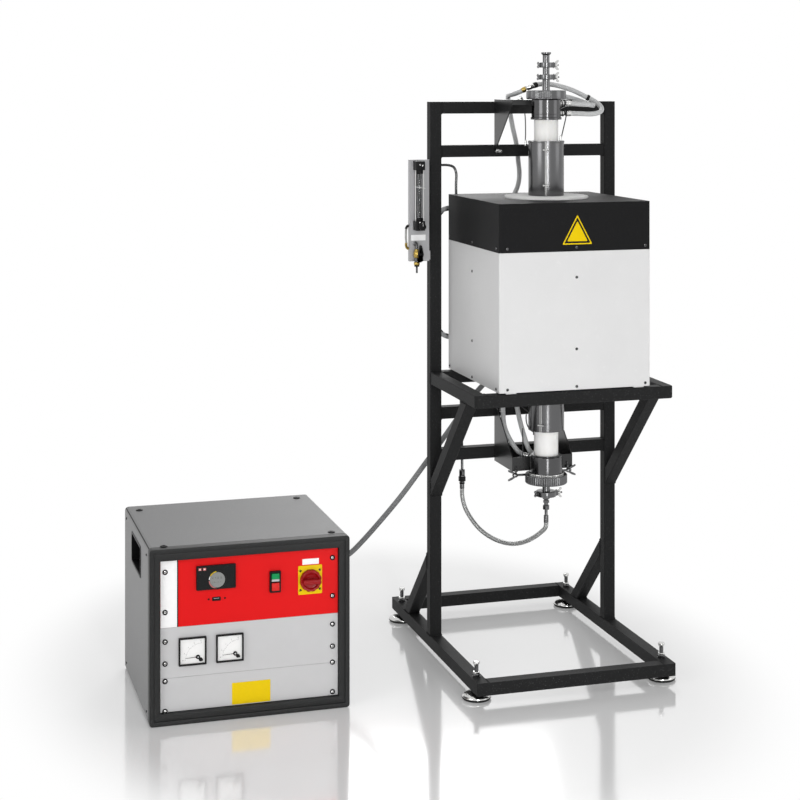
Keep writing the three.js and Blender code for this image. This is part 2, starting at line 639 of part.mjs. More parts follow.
// Cooling water hoses, held by fittings at both ends. Each route is a list of points
// chosen along the real run of the hose.
const PORT_END = UPPER_HEAD.radius + 20 + GAP;
const RETURN_ROUTE = [
  [PORT_END, 8, UPPER_PORTS[0]], [80, 8, UPPER_PORTS[0]], [112, 9, 1602], [150, 14, 1601], [180, 28, 1606],
  [196, 52, 1616],
  [197, 78, 1629], [186, 98, 1641], [163, 106, 1653], [133, 106, 1667], [99, 102, 1678], [57, 95, 1687],
  [12, 88, 1688], [-17, 88, 1680], [-38, 97, 1669], [-50, 125, 1660], [-50, 165, 1656], [-42, 205, 1652],
  [-30, 236, 1636], [-20, 250, 1604], [-10, 251, 1555], [1, 251, 1508], [7, 251, 1458], [11, 251, 1412],
  [6, 251, 1380], [-7, 251, 1350], [-20, 250, 1315], [-29, 247, 1260], [-33, 243, 1180],
  [-35, 240, 1080], [-37, 240, 1000], [-44, 240, 870], [-54, 240, 805], [-60, 240, 765],
  [-62, 240, 742], [-62, 240, WATER_LUG.top + GAP]];
const RISER_ROUTE = [
  [PORT_END, 8, UPPER_PORTS[1]], [80, 8, UPPER_PORTS[1]], [109, 9, 1630], [140, 16, 1628], [160, 34, 1626],
  [169, 58, 1626],
  [166, 86, 1630], [148, 114, 1640], [122, 140, 1650], [100, 170, 1655], [90, 205, 1654],
  [88, 234, 1634], [89, 239, 1592], [89, 236, 1540], [89, 236, 1487], [92, 236, 1430], [88, 236, 1370],
  [72, 236, 1300], [45, 236, 1225], [16, 236, 1150], [0, 236, 1080], [-6, 236, 1000], [-14, 238, 880],
  [-27, 234, 808], [-30, 205, 770], [-31, 170, 741], [-33, 128, 690], [-30, 100, 650], [-22, 84, 615],
  [-16, 64, LOWER_PORT], [-14.1, 56.6 + GAP, LOWER_PORT]];
const SUPPLY_ROUTE = [
  [-36, 240, WATER_LUG.top + GAP], [-36, 240, 736], [-38, 241, 752], [-44, 235, 768], [-54, 212, 776],
  [-68, 178, 754], [-79, 148, 712], [-84, 120, 676], [-74, 96, 640], [-56, 76, 610], [-40, 54, LOWER_PORT],
  [-34.4, 46.5 + GAP, LOWER_PORT]];
add('water_hose_return', alongRoute(RETURN_ROUTE, HOSE_RADIUS, 8, 42), hoseGrey);
add('water_hose_riser', alongRoute(RISER_ROUTE, HOSE_RADIUS, 8, 42), hoseGrey);
add('water_hose_supply', alongRoute(SUPPLY_ROUTE, HOSE_RADIUS, 8, 22), hoseGrey);

// Rigid gas tube from the flow meter, behind the post and down behind the case,
// with the union that takes the flexible hose
function gasTube() {
  const { x, y, end, radius } = GAS_TUBE;
  const z = METER_OUTLET_Z;
  const line = alongRoute([
    [FLOW.x, FLOW.y + METER_BLOCKS.back + GAP, z], [FLOW.x, 200, z], [FLOW.x + 3, 222, z], [-314, y, z],
    [-270, y, z], [-222, y, z], [-205, y, z - 6], [-197, y, z - 22], [-197, y, 1380], [-192, y, 1150],
    [-183, y, 800], [x, y, 580], [x, y, end + 6]], radius, 6, 32);
  return fuse(line,
    hexagon(17, end + 40, end + 57, x, y), bar('z', 6, end + 8, end + 57, [x, y], 12),
    hexagon(19, end + 21, end + 36, x, y), bar('z', 7, end, end + 16, [x, y], 12));
}
add('gas_tube', gasTube(), steel);

// Free hanging gas hose and power cable
const GAS_HOSE_ROUTE = [
  [GAS_TUBE.x, GAS_TUBE.y, GAS_TUBE.end - GAP], [GAS_TUBE.x, GAS_TUBE.y, 460], [-176, 232, 440],
  [-170, 225, 416], [-157, 207, 388],
  [-140, 185, 364], [-119, 157, 347], [-96, 127, 338], [-70, 92, 338], [-45, 59, 350],
  [-24, 31, 370], [-10, 13, 388], [-2, 3, 401], [0, 0, 410], [0, 0, ADAPTER_END - GAP]];
const CABLE_X = CABINET.x + CABINET_GLAND.x;
const CABLE_START = CABINET.y + CABINET.depth + CABINET_GLAND.length;
const CABLE_STOP = TERMINAL.left - GLAND.length - GAP;
const CABLE_ROUTE = [
  [CABLE_X, CABLE_START + GAP, CABINET_GLAND.z], [CABLE_X, 400, CABINET_GLAND.z], [-781, 435, 92],
  [-755, 461, 97], [-720, 472, 106],
  [-675, 470, 127], [-600, 452, 172], [-535, 426, 220], [-481, 400, 262], [-453, 388, 292],
  [-398, 361, 362], [-343, 332, 438], [-288, 304, 522], [-230, 280, 610], [-188, 268, 672],
  [-130, 270, 745], [-105, 270, 771], [-80, 269, 797], [-55, 264, 822], [-30, 259, 843], [-8, 256, 859],
  [CABLE_STOP - 10, GLAND.y, GLAND.z], [CABLE_STOP, GLAND.y, GLAND.z]];
add('gas_hose', alongRoute(GAS_HOSE_ROUTE, GAS_HOSE_RADIUS, 8, 32), steel);
add('power_cable', alongRoute(CABLE_ROUTE, CABLE_RADIUS, 8, 40), cableGrey);

// Flow meter panel: a folded sheet on the left post with the flow meter and the shut-off valve
const PANEL_OFFSET = METER_BLOCKS.back + 0.5;

function flowPanel() {
  const { left, right, top, low, y, flange } = FLOW;
  const face = y + PANEL_OFFSET;
  const front = block(left, right, face, face + 2, low, top);
  const sides = [left, right - 2].map((x) => block(x, x + 2, face, face + flange, low, top));
  const tab = block(right - 1, -STAND_HALF - GAP, face, face + 2, low + 4, low + 30);
  const foot = block(-STAND_HALF - 2 - GAP, -STAND_HALF - GAP, face, face + 30, low + 4, low + 30);
  const hole = bar('y', GAS_TUBE.radius + 1, face - 5, face + 8, [FLOW.x, METER_OUTLET_Z], 12);
  return cut(fuse(front, ...sides, tab, foot), hole);
}

function flowMeter() {
  const { x, y } = FLOW;
  const { left, right, front, low, seat, rest, top } = METER_BLOCKS;
  const back = y + METER_BLOCKS.back;
  const sockets = [[low, seat], [rest, top]].map(
    ([z0, z1]) => block(x - left, x + right, y - front, back, z0, z1));
  const spine = block(x - left, x + right, back - 4, back, seat - 7, rest + 4);
  const cups = [[seat - SOCKET_DEPTH, seat + 1], [rest - 1, rest + SOCKET_DEPTH]].map(
    ([z0, z1]) => bar('z', METER_TUBE_RADIUS + GAP, z0, z1, [x, y], 20));
  const loop = alongRoute([
    [x - 14, y, 1274], [x - 26, y, 1274], [x - 35, y, 1267], [x - 40, y + 1, 1254], [x - 41, y + 3, 1236],
    [x - 39, y + 8, 1221], [x - 37, y + 18, 1213],
    [FLOW.left - 6, y + 24, 1210], [FLOW.left - GAP, y + 24, 1210]], 3, 6, 16);
  return fuse(cut(fuse(...sockets), ...cups), spine, loop);
}

function gasValve() {
  const { x, y, z, lever } = VALVE;
  const back = FLOW.y + PANEL_OFFSET - GAP;
  const inlet = z + 28;
  return fuse(bar('z', 4, z, inlet + 3, [x, y], 12), bar('y', 4, y, back, [x, inlet], 12),
    block(x - 9, lever + 6, y - 9, y + 9, z - 10, z + 8), bar('z', 8, z - 25, z, [x, y], 16),
    hexagon(17, z - 38, z - 25, x, y), bar('z', 3, z - 58, z - 36, [x, y], 10),
    bar('y', 3.5, y - 17, y, [lever, z], 12));
}

const TUBE_LOW = METER_BLOCKS.seat - SOCKET_DEPTH + GAP;
const TUBE_TOP = METER_BLOCKS.rest + SOCKET_DEPTH - GAP;
const FLOAT_LOW = METER_BLOCKS.seat + 3;
add('flow_panel', flowPanel(), paleGrey);
add('flow_meter_body', flowMeter(), blackPlastic);
add('flow_meter_tube', revolve([
  [5, TUBE_LOW], [METER_TUBE_RADIUS, TUBE_LOW], [METER_TUBE_RADIUS, TUBE_TOP], [5, TUBE_TOP]], 20)
  .translate(FLOW.x, FLOW.y, 0), glass);
add('flow_meter_float', revolve([
  [0, 0], [2, 2], [4.4, 7], [4.4, 10], [3, 12], [0, 12]], 16).translate(FLOW.x, FLOW.y, FLOAT_LOW), steel);
add('needle_valve_knob', (() => {
  const { x, y } = FLOW;
  const face = y - METER_BLOCKS.front - GAP;
  const place = [x, NEEDLE_VALVE_Z];
  return fuse(bar('y', 10, face - 22, face - 6, place, 24), bar('y', 7, face - 8, face, place, 16));
})(), blackPlastic);
add('gas_valve_body', gasValve(), brass);
add('gas_valve_lever', (() => {
  const { lever, y, z } = VALVE;
  return facingFront(plate(rounded(-6.5, 6.5, -26, 26, 6), 0, 6, 1), y - 17 - GAP)
    .translate(lever, 0, z);
})(), blackPlastic);

// Control cabinet, in its own corner frame: X to the right, Y to the back
const RACK_LEFT = (CABINET.width - RACK_WIDTH) / 2;
const RACK_TOP = RACK_LOW + 9 * RACK_UNIT;

function cabinetBody() {
  const { width, depth, height } = CABINET;
  const front = FRAME_DEPTH + GAP;
  const wall = SHEET;
  const outline = rounded(0, width, 0, height, CABINET_CORNER, THREE.Shape, 5);
  const outside = facingFront(plate(outline, 0, depth - front), depth);
  const inside = block(wall, width - wall, front - 5, depth - wall, wall, height - wall);
  // Handle pockets open the upper part of both sides.
  const { front: y0, back: y1, low: z0, top: z1, depth: reach } = HANDLE;
  const pockets = [-5, width - 10].map((x) => facingSide(plate(rounded(y0, y1, z0, z1, 1), 0, 15), x));
  const cups = [
    [wall - 0.5, wall + reach + 2, -1, wall + reach],
    [width - wall - reach - 2, width - wall + 0.5, width - wall - reach, width + 1],
  ].map(([x0, x1, in0, in1]) => cut(
    block(x0, x1, y0 - 6, y1 + 6, z0 - 6, z1 + 6), block(in0, in1, y0, y1, z0, z1)));
  const place = [CABINET_GLAND.x, CABINET_GLAND.z];
  const gland = fuse(bar('y', 17, depth - 1, depth + 6, place, 6),
    bar('y', 12, depth, depth + CABINET_GLAND.length, place, 16));
  const { left, right: end, low, pitch, count, height: open } = LOUVRES;
  const louvres = Array.from({ length: count }, (_, i) => block(left, end, depth - 5, depth + 5,
    low + i * pitch, low + i * pitch + open));
  return fuse(cut(outside, inside, ...pockets, ...louvres), ...cups, gland);
}

function frontFrame() {
  const { width, height } = CABINET;
  const outline = rounded(0, width, 0, height, CABINET_CORNER, THREE.Shape, 5);
  outline.holes.push(rectangle(RACK_LEFT - 1, RACK_LEFT + RACK_WIDTH + 1, RACK_LOW - 1, RACK_TOP + 1));
  const ring = facingFront(plate(outline, 0, FRAME_DEPTH, 1), FRAME_DEPTH);
  // Mounting rails behind the panels' ends
  const y0 = RECESS + PANEL + GAP;
  const ends = [RACK_LEFT - 2, RACK_LEFT + RACK_WIDTH - 14].map(
    (x) => block(x, x + 16, y0, y0 + 10, RACK_LOW - 4, RACK_TOP + 4));
  return fuse(ring, ...ends);
}

// Rack panel from one height unit to another, with the cut-outs given
function rackPanel(fromUnit, toUnit, ...openings) {
  const z0 = RACK_LOW + fromUnit * RACK_UNIT + GAP;
  const z1 = RACK_LOW + toUnit * RACK_UNIT - GAP;
  const outline = rectangle(RACK_LEFT, RACK_LEFT + RACK_WIDTH, z0, z1, THREE.Shape);
  outline.holes.push(...openings);
  return facingFront(plate(outline, 0, PANEL), RECESS + PANEL);
}

add('cabinet_body', cabinetBody(), cabinetGrey, cabinet);
add('front_frame', frontFrame(), frameGrey, cabinet);
add('control_panel', rackPanel(5, 9,
  rectangle(DISPLAY.x0 + 4, DISPLAY.x1 - 4, DISPLAY.z0 + 4, DISPLAY.z1 - 4),
  rectangle(SWITCH.x - 11, SWITCH.x + 11, SWITCH.z - 24, SWITCH.z + 24),
  circle(ISOLATOR.x, ISOLATOR.z, 6)), panelRed, cabinet);
add('meter_panel', rackPanel(2, 5, circle(METERS.left, METERS.z, 32), circle(METERS.right, METERS.z, 32)),
  panelGrey, cabinet);
add('blank_panel', rackPanel(0, 2), panelGrey, cabinet);

const FACE = RECESS - GAP;
add('temperature_controller', (() => {
  const { x0, x1, z0, z1 } = DISPLAY;
  const bezel = facingFront(plate(rounded(x0, x1, z0, z1, 4), 0, 7, 1.5), FACE);
  return fuse(bezel, block(x0 + 5, x1 - 5, FACE - 1, FACE + 75, z0 + 5, z1 - 5));
})(), blackPlastic, cabinet);

// Twin push-button switch: the housing has a pocket for each button
add('switch_housing', (() => {
  const { x, z, width, height } = SWITCH;
  const bezel = facingFront(plate(rounded(x - width / 2, x + width / 2, z - height / 2, z + height / 2, 3),
    0, 9, 1), FACE);
  const body = block(x - 10, x + 10, FACE - 1, FACE + 35, z - 23, z + 23);
  const half = BUTTON.size / 2 + 0.4;
  const pockets = [z - BUTTON.offset, z + BUTTON.offset].map((middle) => block(x - half, x + half,
    FACE - 12, FACE - 1.5, middle - half, middle + half));
  return cut(fuse(bezel, body), ...pockets);
})(), blackPlastic, cabinet);
function pushButton(z) {
  const { x } = SWITCH;
  const half = BUTTON.size / 2;
  const face = rounded(x - half, x + half, z - half, z + half, 2);
  return facingFront(plate(face, 0, 6, 1), FACE - 1.5 - BUTTON.travel - GAP);
}
add('start_button', pushButton(SWITCH.z + BUTTON.offset), green, cabinet);
add('stop_button', pushButton(SWITCH.z - BUTTON.offset), red, cabinet);

// Isolator knob: a disc with a raised grip bar, on a spindle through the panel
add('isolator_knob', (() => {
  const { x, z, radius, grip, gripHalf } = ISOLATOR;
  const disc = bar('y', radius, FACE - 14, FACE - 2.5, [x, z], 28);
  const outline = rounded(-grip, grip, -gripHalf, gripHalf, gripHalf - 1);
  const handle = facingFront(plate(outline, 0, 16, 2), FACE - 12).translate(x, 0, z);
  return fuse(disc, handle, bar('y', 4.5, FACE - 4, FACE + 20, [x, z], 12));
})(), red, cabinet);

// Moving-iron meter: an open dial box behind the window, with the needle in front of the dial
function meterHousing(x) {
  const half = METERS.size / 2;
  const z = METERS.z;
  const bezel = facingFront(plate(rounded(x - half, x + half, z - half, z + half, 2), 0, 8, 1), FACE);
  const can = bar('y', 30, FACE - 1, FACE + 45, [x, z], 20);
  const window = block(x - half + 5, x + half - 5, FACE - 12, FACE - 2.5, z - half + 5, z + half - 5);
  return cut(fuse(bezel, can), window);
}
function meterNeedle(x) {
  const half = METERS.size / 2 - 12;
  const pivot = new THREE.Vector3(x + half, FACE - 4.5, METERS.z - half);
  const pointer = polygon([[-2, -1.4], [46, -0.4], [46, 0.4], [-2, 1.4]]);
  const blade = facingFront(plate(pointer, 0, 1), 0.5).rotateY(-Math.PI);
  const hub = bar('y', 3.5, -1, 1.5, [0, 0], 14);
  return fuse(blade, hub).translate(pivot.x, pivot.y, pivot.z);
}
for (const side of ['left', 'right']) {
  add(`${side}_meter`, meterHousing(METERS[side]), white, cabinet);
  add(`${side}_meter_needle`, meterNeedle(METERS[side]), blackPlastic, cabinet);
}

// Power transformer on the cabinet floor: a laminated core with two windings
add('power_transformer', (() => {
  const core = cut(block(200, 350, 230, 300, 10, 140),
    block(228, 262, 225, 305, 38, 112), block(288, 322, 225, 305, 38, 112));
  const winding = bar('z', 36, 42, 108, [275, 265], 12);
  return fuse(core, winding, block(190, 360, 225, 305, 2 + GAP, 12));
})(), frameGrey, cabinet);

// The object's own frame: the middle of its footprint on the floor
const right = FOOT_X + FOOT_RADIUS;
assembly.position.set(-(CABINET.x + right) / 2, -(BASE_FRONT + BASE_BACK) / 2, 0);

const furnace = new THREE.Group();
furnace.name = 'vertical_tube_furnace';
furnace.add(assembly);
export default furnace;
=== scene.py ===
"""Looks of the vertical tube furnace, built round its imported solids. Metres, +Z up."""

import json
import math

import bmesh
import bpy
import numpy as np
from bpy.props import FloatProperty, FloatVectorProperty, PointerProperty
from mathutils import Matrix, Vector


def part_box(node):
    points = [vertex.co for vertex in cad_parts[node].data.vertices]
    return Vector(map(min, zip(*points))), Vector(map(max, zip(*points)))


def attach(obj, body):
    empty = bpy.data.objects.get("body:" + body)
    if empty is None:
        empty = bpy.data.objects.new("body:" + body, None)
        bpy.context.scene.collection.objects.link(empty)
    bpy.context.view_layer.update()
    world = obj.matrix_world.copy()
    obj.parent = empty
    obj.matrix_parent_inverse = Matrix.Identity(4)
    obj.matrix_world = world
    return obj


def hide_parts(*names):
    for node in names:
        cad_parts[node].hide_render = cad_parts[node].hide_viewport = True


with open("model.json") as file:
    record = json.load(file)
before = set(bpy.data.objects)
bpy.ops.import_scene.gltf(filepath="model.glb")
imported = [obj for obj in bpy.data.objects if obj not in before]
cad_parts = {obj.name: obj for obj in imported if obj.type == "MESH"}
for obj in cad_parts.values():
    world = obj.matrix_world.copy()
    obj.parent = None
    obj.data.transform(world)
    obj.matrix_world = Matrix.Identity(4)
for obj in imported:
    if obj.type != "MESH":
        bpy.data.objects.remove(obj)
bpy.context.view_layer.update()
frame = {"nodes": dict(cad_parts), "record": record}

bl_info = {
    "name": "Vertical Tube Furnace",
    "version": (1, 0, 0),
    "blender": (4, 5, 0),
    "location": "3D View > Sidebar > Furnace",
    "description": "Builds the surfaces and finishes of a vertical tube furnace",
    "category": "Add Mesh",
}

# Places that come from the frame
BODY_OF = {node: body for body, nodes in frame["record"]["behaviour"]["bodies"].items() for node in nodes}
ROOT = BODY_OF["base_frame"]


def middle(node):
    """Centre of a node's box."""
    low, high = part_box(node)
    return np.array((low + high) / 2)


def corner(node):
    """Lowest corner of a node's box."""
    return np.array(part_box(node)[0])


AXIS = middle("work_tube")[:2]
STAND = np.array([*AXIS, 0.0])
CASE_HALF = 0.225
CABINET = corner("cabinet_body") * (1, 0, 0) + (0, corner("front_frame")[1], 0)
METER = middle("flow_meter_tube")
RACK_LEFT, RACK_RIGHT, RACK_LOW, RACK_UNIT = 0.0302, 0.5128, 0.032, 0.04445
PANEL_FACE = 0.014

# Where each letter's turned or extruded axis points: two directions across, then along
PLANES = {
    "x": np.array([(0, 1, 0), (0, 0, 1), (1, 0, 0)], float),
    "y": np.array([(1, 0, 0), (0, 0, 1), (0, 1, 0)], float),
    "z": np.array([(1, 0, 0), (0, 1, 0), (0, 0, 1)], float),
}


class FurnaceSizes(bpy.types.PropertyGroup):
    """Sizes that a user would change."""

    weld: FloatProperty(name="Weld bead", description="Half width of the weld beads on the stand",
                        default=0.0026, min=0.001, unit="LENGTH")
    braid: FloatProperty(name="Braid pitch", description="Length of one crossing of the water hoses' braid",
                         default=0.006, min=0.002, unit="LENGTH")
    screw: FloatProperty(name="Case screws", description="Radius of the case's pan head screws",
                         default=0.0042, min=0.001, unit="LENGTH")


class FurnaceColours(bpy.types.PropertyGroup):
    """Colours that a user would change."""

    stand: FloatVectorProperty(name="Stand", description="Powder coat of the stand", subtype="COLOR",
                               default=(0.0115, 0.0117, 0.0120), min=0, max=1)
    case: FloatVectorProperty(name="Case", description="Powder coat of the furnace case", subtype="COLOR",
                              default=(0.68, 0.68, 0.68), min=0, max=1)
    control: FloatVectorProperty(name="Control panel", description="Paint of the control panel",
                                 subtype="COLOR", default=(0.71, 0.006, 0.007), min=0, max=1)


def sizes():
    return bpy.context.scene.furnace_sizes


def colours():
    return bpy.context.scene.furnace_colours


# Shader maths


class Value:
    """A shader output that takes part in Python sums."""

    def __init__(self, finish, output):
        self.finish, self.output = finish, output

    def sum(self, operation, first, second=0.0):
        return self.finish.node("ShaderNodeMath", {"operation": operation}, first, second)

    def __add__(self, other):
        return self.sum("ADD", self, other)

    def __sub__(self, other):
        return self.sum("SUBTRACT", self, other)

    def __rsub__(self, other):
        return self.sum("SUBTRACT", other, self)

    def __mul__(self, other):
        return self.sum("MULTIPLY", self, other)

    def __pow__(self, other):
        return self.sum("POWER", self, other)

    def __abs__(self):
        return self.sum("ABSOLUTE", self)

    def wave(self):
        return self.sum("SINE", self)

    def either(self, other):
        return self.sum("MAXIMUM", self, other)

    def between(self, low, high):
        """0 below low and 1 above high, with a smooth step between."""
        return self.finish.node("ShaderNodeMapRange", {"interpolation_type": "SMOOTHSTEP"}, self, low, high)

    __radd__ = __add__
    __rmul__ = __mul__


class Finish:
    """One procedural material: a Principled surface and the nodes that feed it."""

    def __init__(self, name, roughness=0.5, metallic=0.0, **uniform):
        self.material = bpy.data.materials.new(name)
        self.material.use_nodes = True
        self.tree = self.material.node_tree
        self.surface = self.tree.nodes["Principled BSDF"]
        self.feed("Roughness", roughness)
        self.feed("Metallic", metallic)
        for socket, value in uniform.items():
            self.feed(socket.replace("_", " "), value)

    def feed(self, socket, value):
        """Sets or links one socket of the surface."""
        self.connect(self.surface.inputs[socket], value)

    def connect(self, socket, value):
        if isinstance(value, Value):
            self.tree.links.new(value.output, socket)
        elif hasattr(socket.default_value, "__len__") and len(socket.default_value) == 4:
            socket.default_value = (*value[:3], 1.0)
        else:
            socket.default_value = value

    def node(self, kind, settings=None, *values, output=0):
        """Makes one node: its settings first, then the values or links of its sockets in order."""
        made = self.tree.nodes.new(kind)
        for key, setting in (settings or {}).items():
            setattr(made, key, setting)
        for socket, value in zip([s for s in made.inputs if s.enabled], values):
            self.connect(socket, value)
        outputs = [s for s in made.outputs if s.enabled]
        return Value(self, outputs[output])

    def place(self):
        return self.node("ShaderNodeTexCoord", output=3)

    def uv(self):
        """The piece's own UV as two values: turns round the section and metres along it."""
        coordinates = self.node("ShaderNodeUVMap", {"uv_map": "UVMap"})
        return self.split(coordinates)[:2]

    def split(self, vector):
        first = self.node("ShaderNodeSeparateXYZ", None, vector)
        return [Value(self, output) for output in first.output.node.outputs]

    def join(self, x, y, z):
        return self.node("ShaderNodeCombineXYZ", None, x, y, z)

    def stretched(self, scale):
        """Object coordinates times a scale for each axis."""
        return self.node("ShaderNodeVectorMath", {"operation": "MULTIPLY"}, self.place(), scale)

    def noise(self, scale, detail=3.0, rough=0.5, vector=None):
        """Fractal noise whose features are about 1 / scale metres across."""
        return self.node("ShaderNodeTexNoise", None, vector or self.place(), scale, detail, rough)

    def cells(self, scale):
        """Distance to the nearest of scattered points."""
        return self.node("ShaderNodeTexVoronoi", None, self.place(), scale)

    def mix(self, factor, first, second):
        """Blends two colours."""
        return self.node("ShaderNodeMix", {"data_type": "RGBA"}, factor, first, second)

    def shade(self, colour, low, high, amount):
        """A colour that runs from low to high times its own value as amount goes from 0 to 1."""
        return self.mix(amount, [low * c for c in colour[:3]], [min(high * c, 1) for c in colour[:3]])

    def bump(self, height, distance):
        """Normal of a surface raised by height times distance, in metres."""
        made = self.node("ShaderNodeBump", None, 1.0, distance)
        self.connect(made.output.node.inputs["Height"], height)
        return made

    def finished(self, colour, roughness=None, normal=None):
        self.feed("Base Color", colour)
        if roughness is not None:
            self.feed("Roughness", roughness)
        if normal is not None:
            self.feed("Normal", normal)
        return self.material


def powder_coat(name, colour, grain=900.0, depth=0.00012, roughness=0.42, speckle=0.0, gloss=0.5):
    """Baked powder: a fine leathery grain, a slow drift of tone and, on dark coats, pale speckles."""
    finish = Finish(name, Specular_IOR_Level=gloss)
    grain_noise = finish.noise(grain, 2.0, 0.55)
    drift = finish.noise(5.0, 3.0, 0.6)
    scuff = finish.noise(60.0, 5.0, 0.7).between(0.56, 0.80)
    tone = finish.shade(colour, 0.90, 1.10, drift * 0.6 + grain_noise * 0.4)
    tone = finish.mix(scuff * 0.10, tone, [min(c * 1.5 + 0.03, 1) for c in colour])
    if speckle:
        fleck = finish.noise(grain * 0.55, 1.0, 0.5).between(0.63, 0.75)
        tone = finish.mix(fleck * speckle, tone, [min(c * 3.2 + 0.05, 1) for c in colour])
    rough = grain_noise * 0.16 + drift * 0.10 + (roughness - 0.13)
    return finish.finished(tone, rough, finish.bump(grain_noise, depth))


def smooth_paint(name, colour, roughness=0.36):
    """Smooth sprayed paint: a faint orange peel, hand marks and a little dust in the gloss."""
    finish = Finish(name, Specular_IOR_Level=0.10)
    peel = finish.noise(420.0, 2.0, 0.5)
    marks = finish.noise(18.0, 5.0, 0.65)
    tone = finish.shade(colour, 0.965, 1.03, marks)
    return finish.finished(tone, marks * 0.16 + (roughness - 0.08), finish.bump(peel, 0.00004))


def moulded(name, colour, roughness=0.42, grain=1400.0, depth=0.00006, **uniform):
    """Moulded plastic or rubber with a fine spark-eroded grain."""
    finish = Finish(name, **uniform)
    grit = finish.noise(grain, 2.0, 0.6)
    wear = finish.noise(70.0, 4.0, 0.6)
    tone = finish.shade(colour, 0.88, 1.12, wear)
    return finish.finished(tone, grit * 0.14 + wear * 0.12 + (roughness - 0.13), finish.bump(grit, depth))


def turned_steel(name, colour=(0.135, 0.136, 0.138), roughness=0.15, centre=None, depth=0.00005):
    """Stainless turned on a lathe: fine rings round an upright centre line, with a faint haze."""
    finish = Finish(name, metallic=1.0)
    x, y, z = finish.split(finish.place())
    place = AXIS if centre is None else centre
    across = ((x - float(place[0])) ** 2.0 + (y - float(place[1])) ** 2.0) ** 0.5
    rings = finish.noise(1.0, 3.0, 0.7, finish.join(across * 2600.0, 0.0, z * 2600.0))
    haze = finish.noise(45.0, 4.0, 0.6)
    tone = finish.shade(colour, 0.80, 1.12, rings * 0.5 + haze * 0.5)
    return finish.finished(tone, rings * 0.06 + haze * 0.10 + (roughness - 0.08), finish.bump(rings, depth))


def rolled_steel(name, colour=(0.130, 0.130, 0.133), roughness=0.23):
    """Stainless sheet rolled into a tube: upright brush lines and the warm straw tint of heat."""
    finish = Finish(name, metallic=1.0)
    lines = finish.noise(1.0, 4.0, 0.65, finish.stretched((1500.0, 1500.0, 14.0)))
    haze = finish.noise(16.0, 4.0, 0.6)
    tone = finish.shade(colour, 0.82, 1.15, lines)
    tone = finish.mix(haze.between(0.55, 0.8) * 0.35, tone, (0.11, 0.102, 0.088))
    return finish.finished(tone, lines * 0.10 + haze * 0.10 + (roughness - 0.10),
                           finish.bump(lines, 0.000008))


def zinc(name="bright zinc", colour=(0.64, 0.64, 0.63), roughness=0.16):
    """Bright plated fasteners, spangled and a little stained."""
    finish = Finish(name, metallic=1.0)
    spangle = finish.cells(900.0)
    stain = finish.noise(140.0, 4.0, 0.6)
    tone = finish.shade(colour, 0.72, 1.12, spangle * 0.4 + stain * 0.6)
    return finish.finished(tone, stain * 0.24 + (roughness - 0.12), finish.bump(stain, 0.00003))


def brass_metal():
    """Brass fittings, darker brown in random blotches."""
    finish = Finish("turned brass", metallic=1.0)
    brown_blotches = finish.noise(160.0, 4.0, 0.65)
    rings = finish.noise(1.0, 2.0, 0.6, finish.stretched((300.0, 300.0, 3200.0)))
    tone = finish.mix(brown_blotches.between(0.35, 0.75) * 0.6, (0.46, 0.33, 0.085), (0.16, 0.10, 0.025))
    return finish.finished(tone, brown_blotches * 0.22 + 0.16, finish.bump(rings, 0.00002))


def alumina():
    """Fired ceramic: ivory with faint fired blotches and a satin skin."""
    finish = Finish("dense alumina", Subsurface_Weight=0.05, Subsurface_Radius=(0.01, 0.008, 0.006))
    blotch = finish.noise(22.0, 5.0, 0.6)
    grit = finish.noise(1600.0, 2.0, 0.6)
    tone = finish.mix(blotch.between(0.35, 0.75), (0.86, 0.855, 0.84), (0.80, 0.79, 0.765))
    return finish.finished(tone, blotch * 0.18 + 0.30, finish.bump(grit, 0.00003))


def fibre_board():
    """Vacuum-formed fibre: soft white with tangled strands and shallow pits."""
    finish = Finish("ceramic fibre", roughness=0.95, Sheen_Weight=0.2)
    strands = finish.noise(700.0, 6.0, 0.75)
    pits = finish.cells(160.0)
    tone = finish.shade((0.93, 0.93, 0.92), 0.90, 1.04, strands)
    height = strands * 0.7 + pits * 0.3
    return finish.finished(tone, None, finish.bump(height, 0.0006))


def braided_hose(name, colour, dark, pitch, strands=12.0, see=0.25, metallic=0.0, roughness=0.38):
    """Two sets of strands that wind round the hose in opposite senses, each a raised ridge."""
    finish = Finish(name, metallic=metallic)
    turn, along = finish.uv()
    winding = along * (math.tau / pitch)
    right = abs((turn * (math.tau * strands / 2) + winding).wave())
    left = abs((turn * (math.tau * strands / 2) - winding).wave())
    ridge = right.either(left)
    weave = ridge.between(0.35, 1.0)
    grime = finish.noise(30.0, 4.0, 0.6)
    tone = finish.mix(weave, dark, colour)
    tone = finish.mix(grime.between(0.5, 0.8) * see, tone, [c * 0.7 for c in colour])
    return finish.finished(tone, roughness - weave * 0.1 + grime * 0.12, finish.bump(weave, 0.0005))


def cable_sheath(name="cable sheath", colour=(0.200, 0.203, 0.206)):
    """Extruded sheath: long faint drawing lines and a rubbed bloom."""
    finish = Finish(name)
    turn, along = finish.uv()
    lines = finish.noise(1.0, 3.0, 0.6, finish.join(turn * 70.0, along * 6.0, 0.0))
    bloom = finish.noise(24.0, 4.0, 0.6)
    tone = finish.shade(colour, 0.82, 1.18, lines * 0.4 + bloom * 0.6)
    return finish.finished(tone, bloom * 0.16 + 0.40, finish.bump(lines, 0.00015))


def clear_glass(tint=(0.66, 0.67, 0.67)):
    """Drawn glass with a few draw lines."""
    finish = Finish("clear glass", roughness=0.03, Transmission_Weight=1.0, IOR=1.45)
    lines = finish.noise(1.0, 2.0, 0.5, finish.stretched((500.0, 500.0, 12.0)))
    return finish.finished(finish.shade(tint, 0.97, 1.0, lines), None, finish.bump(lines, 0.00004))


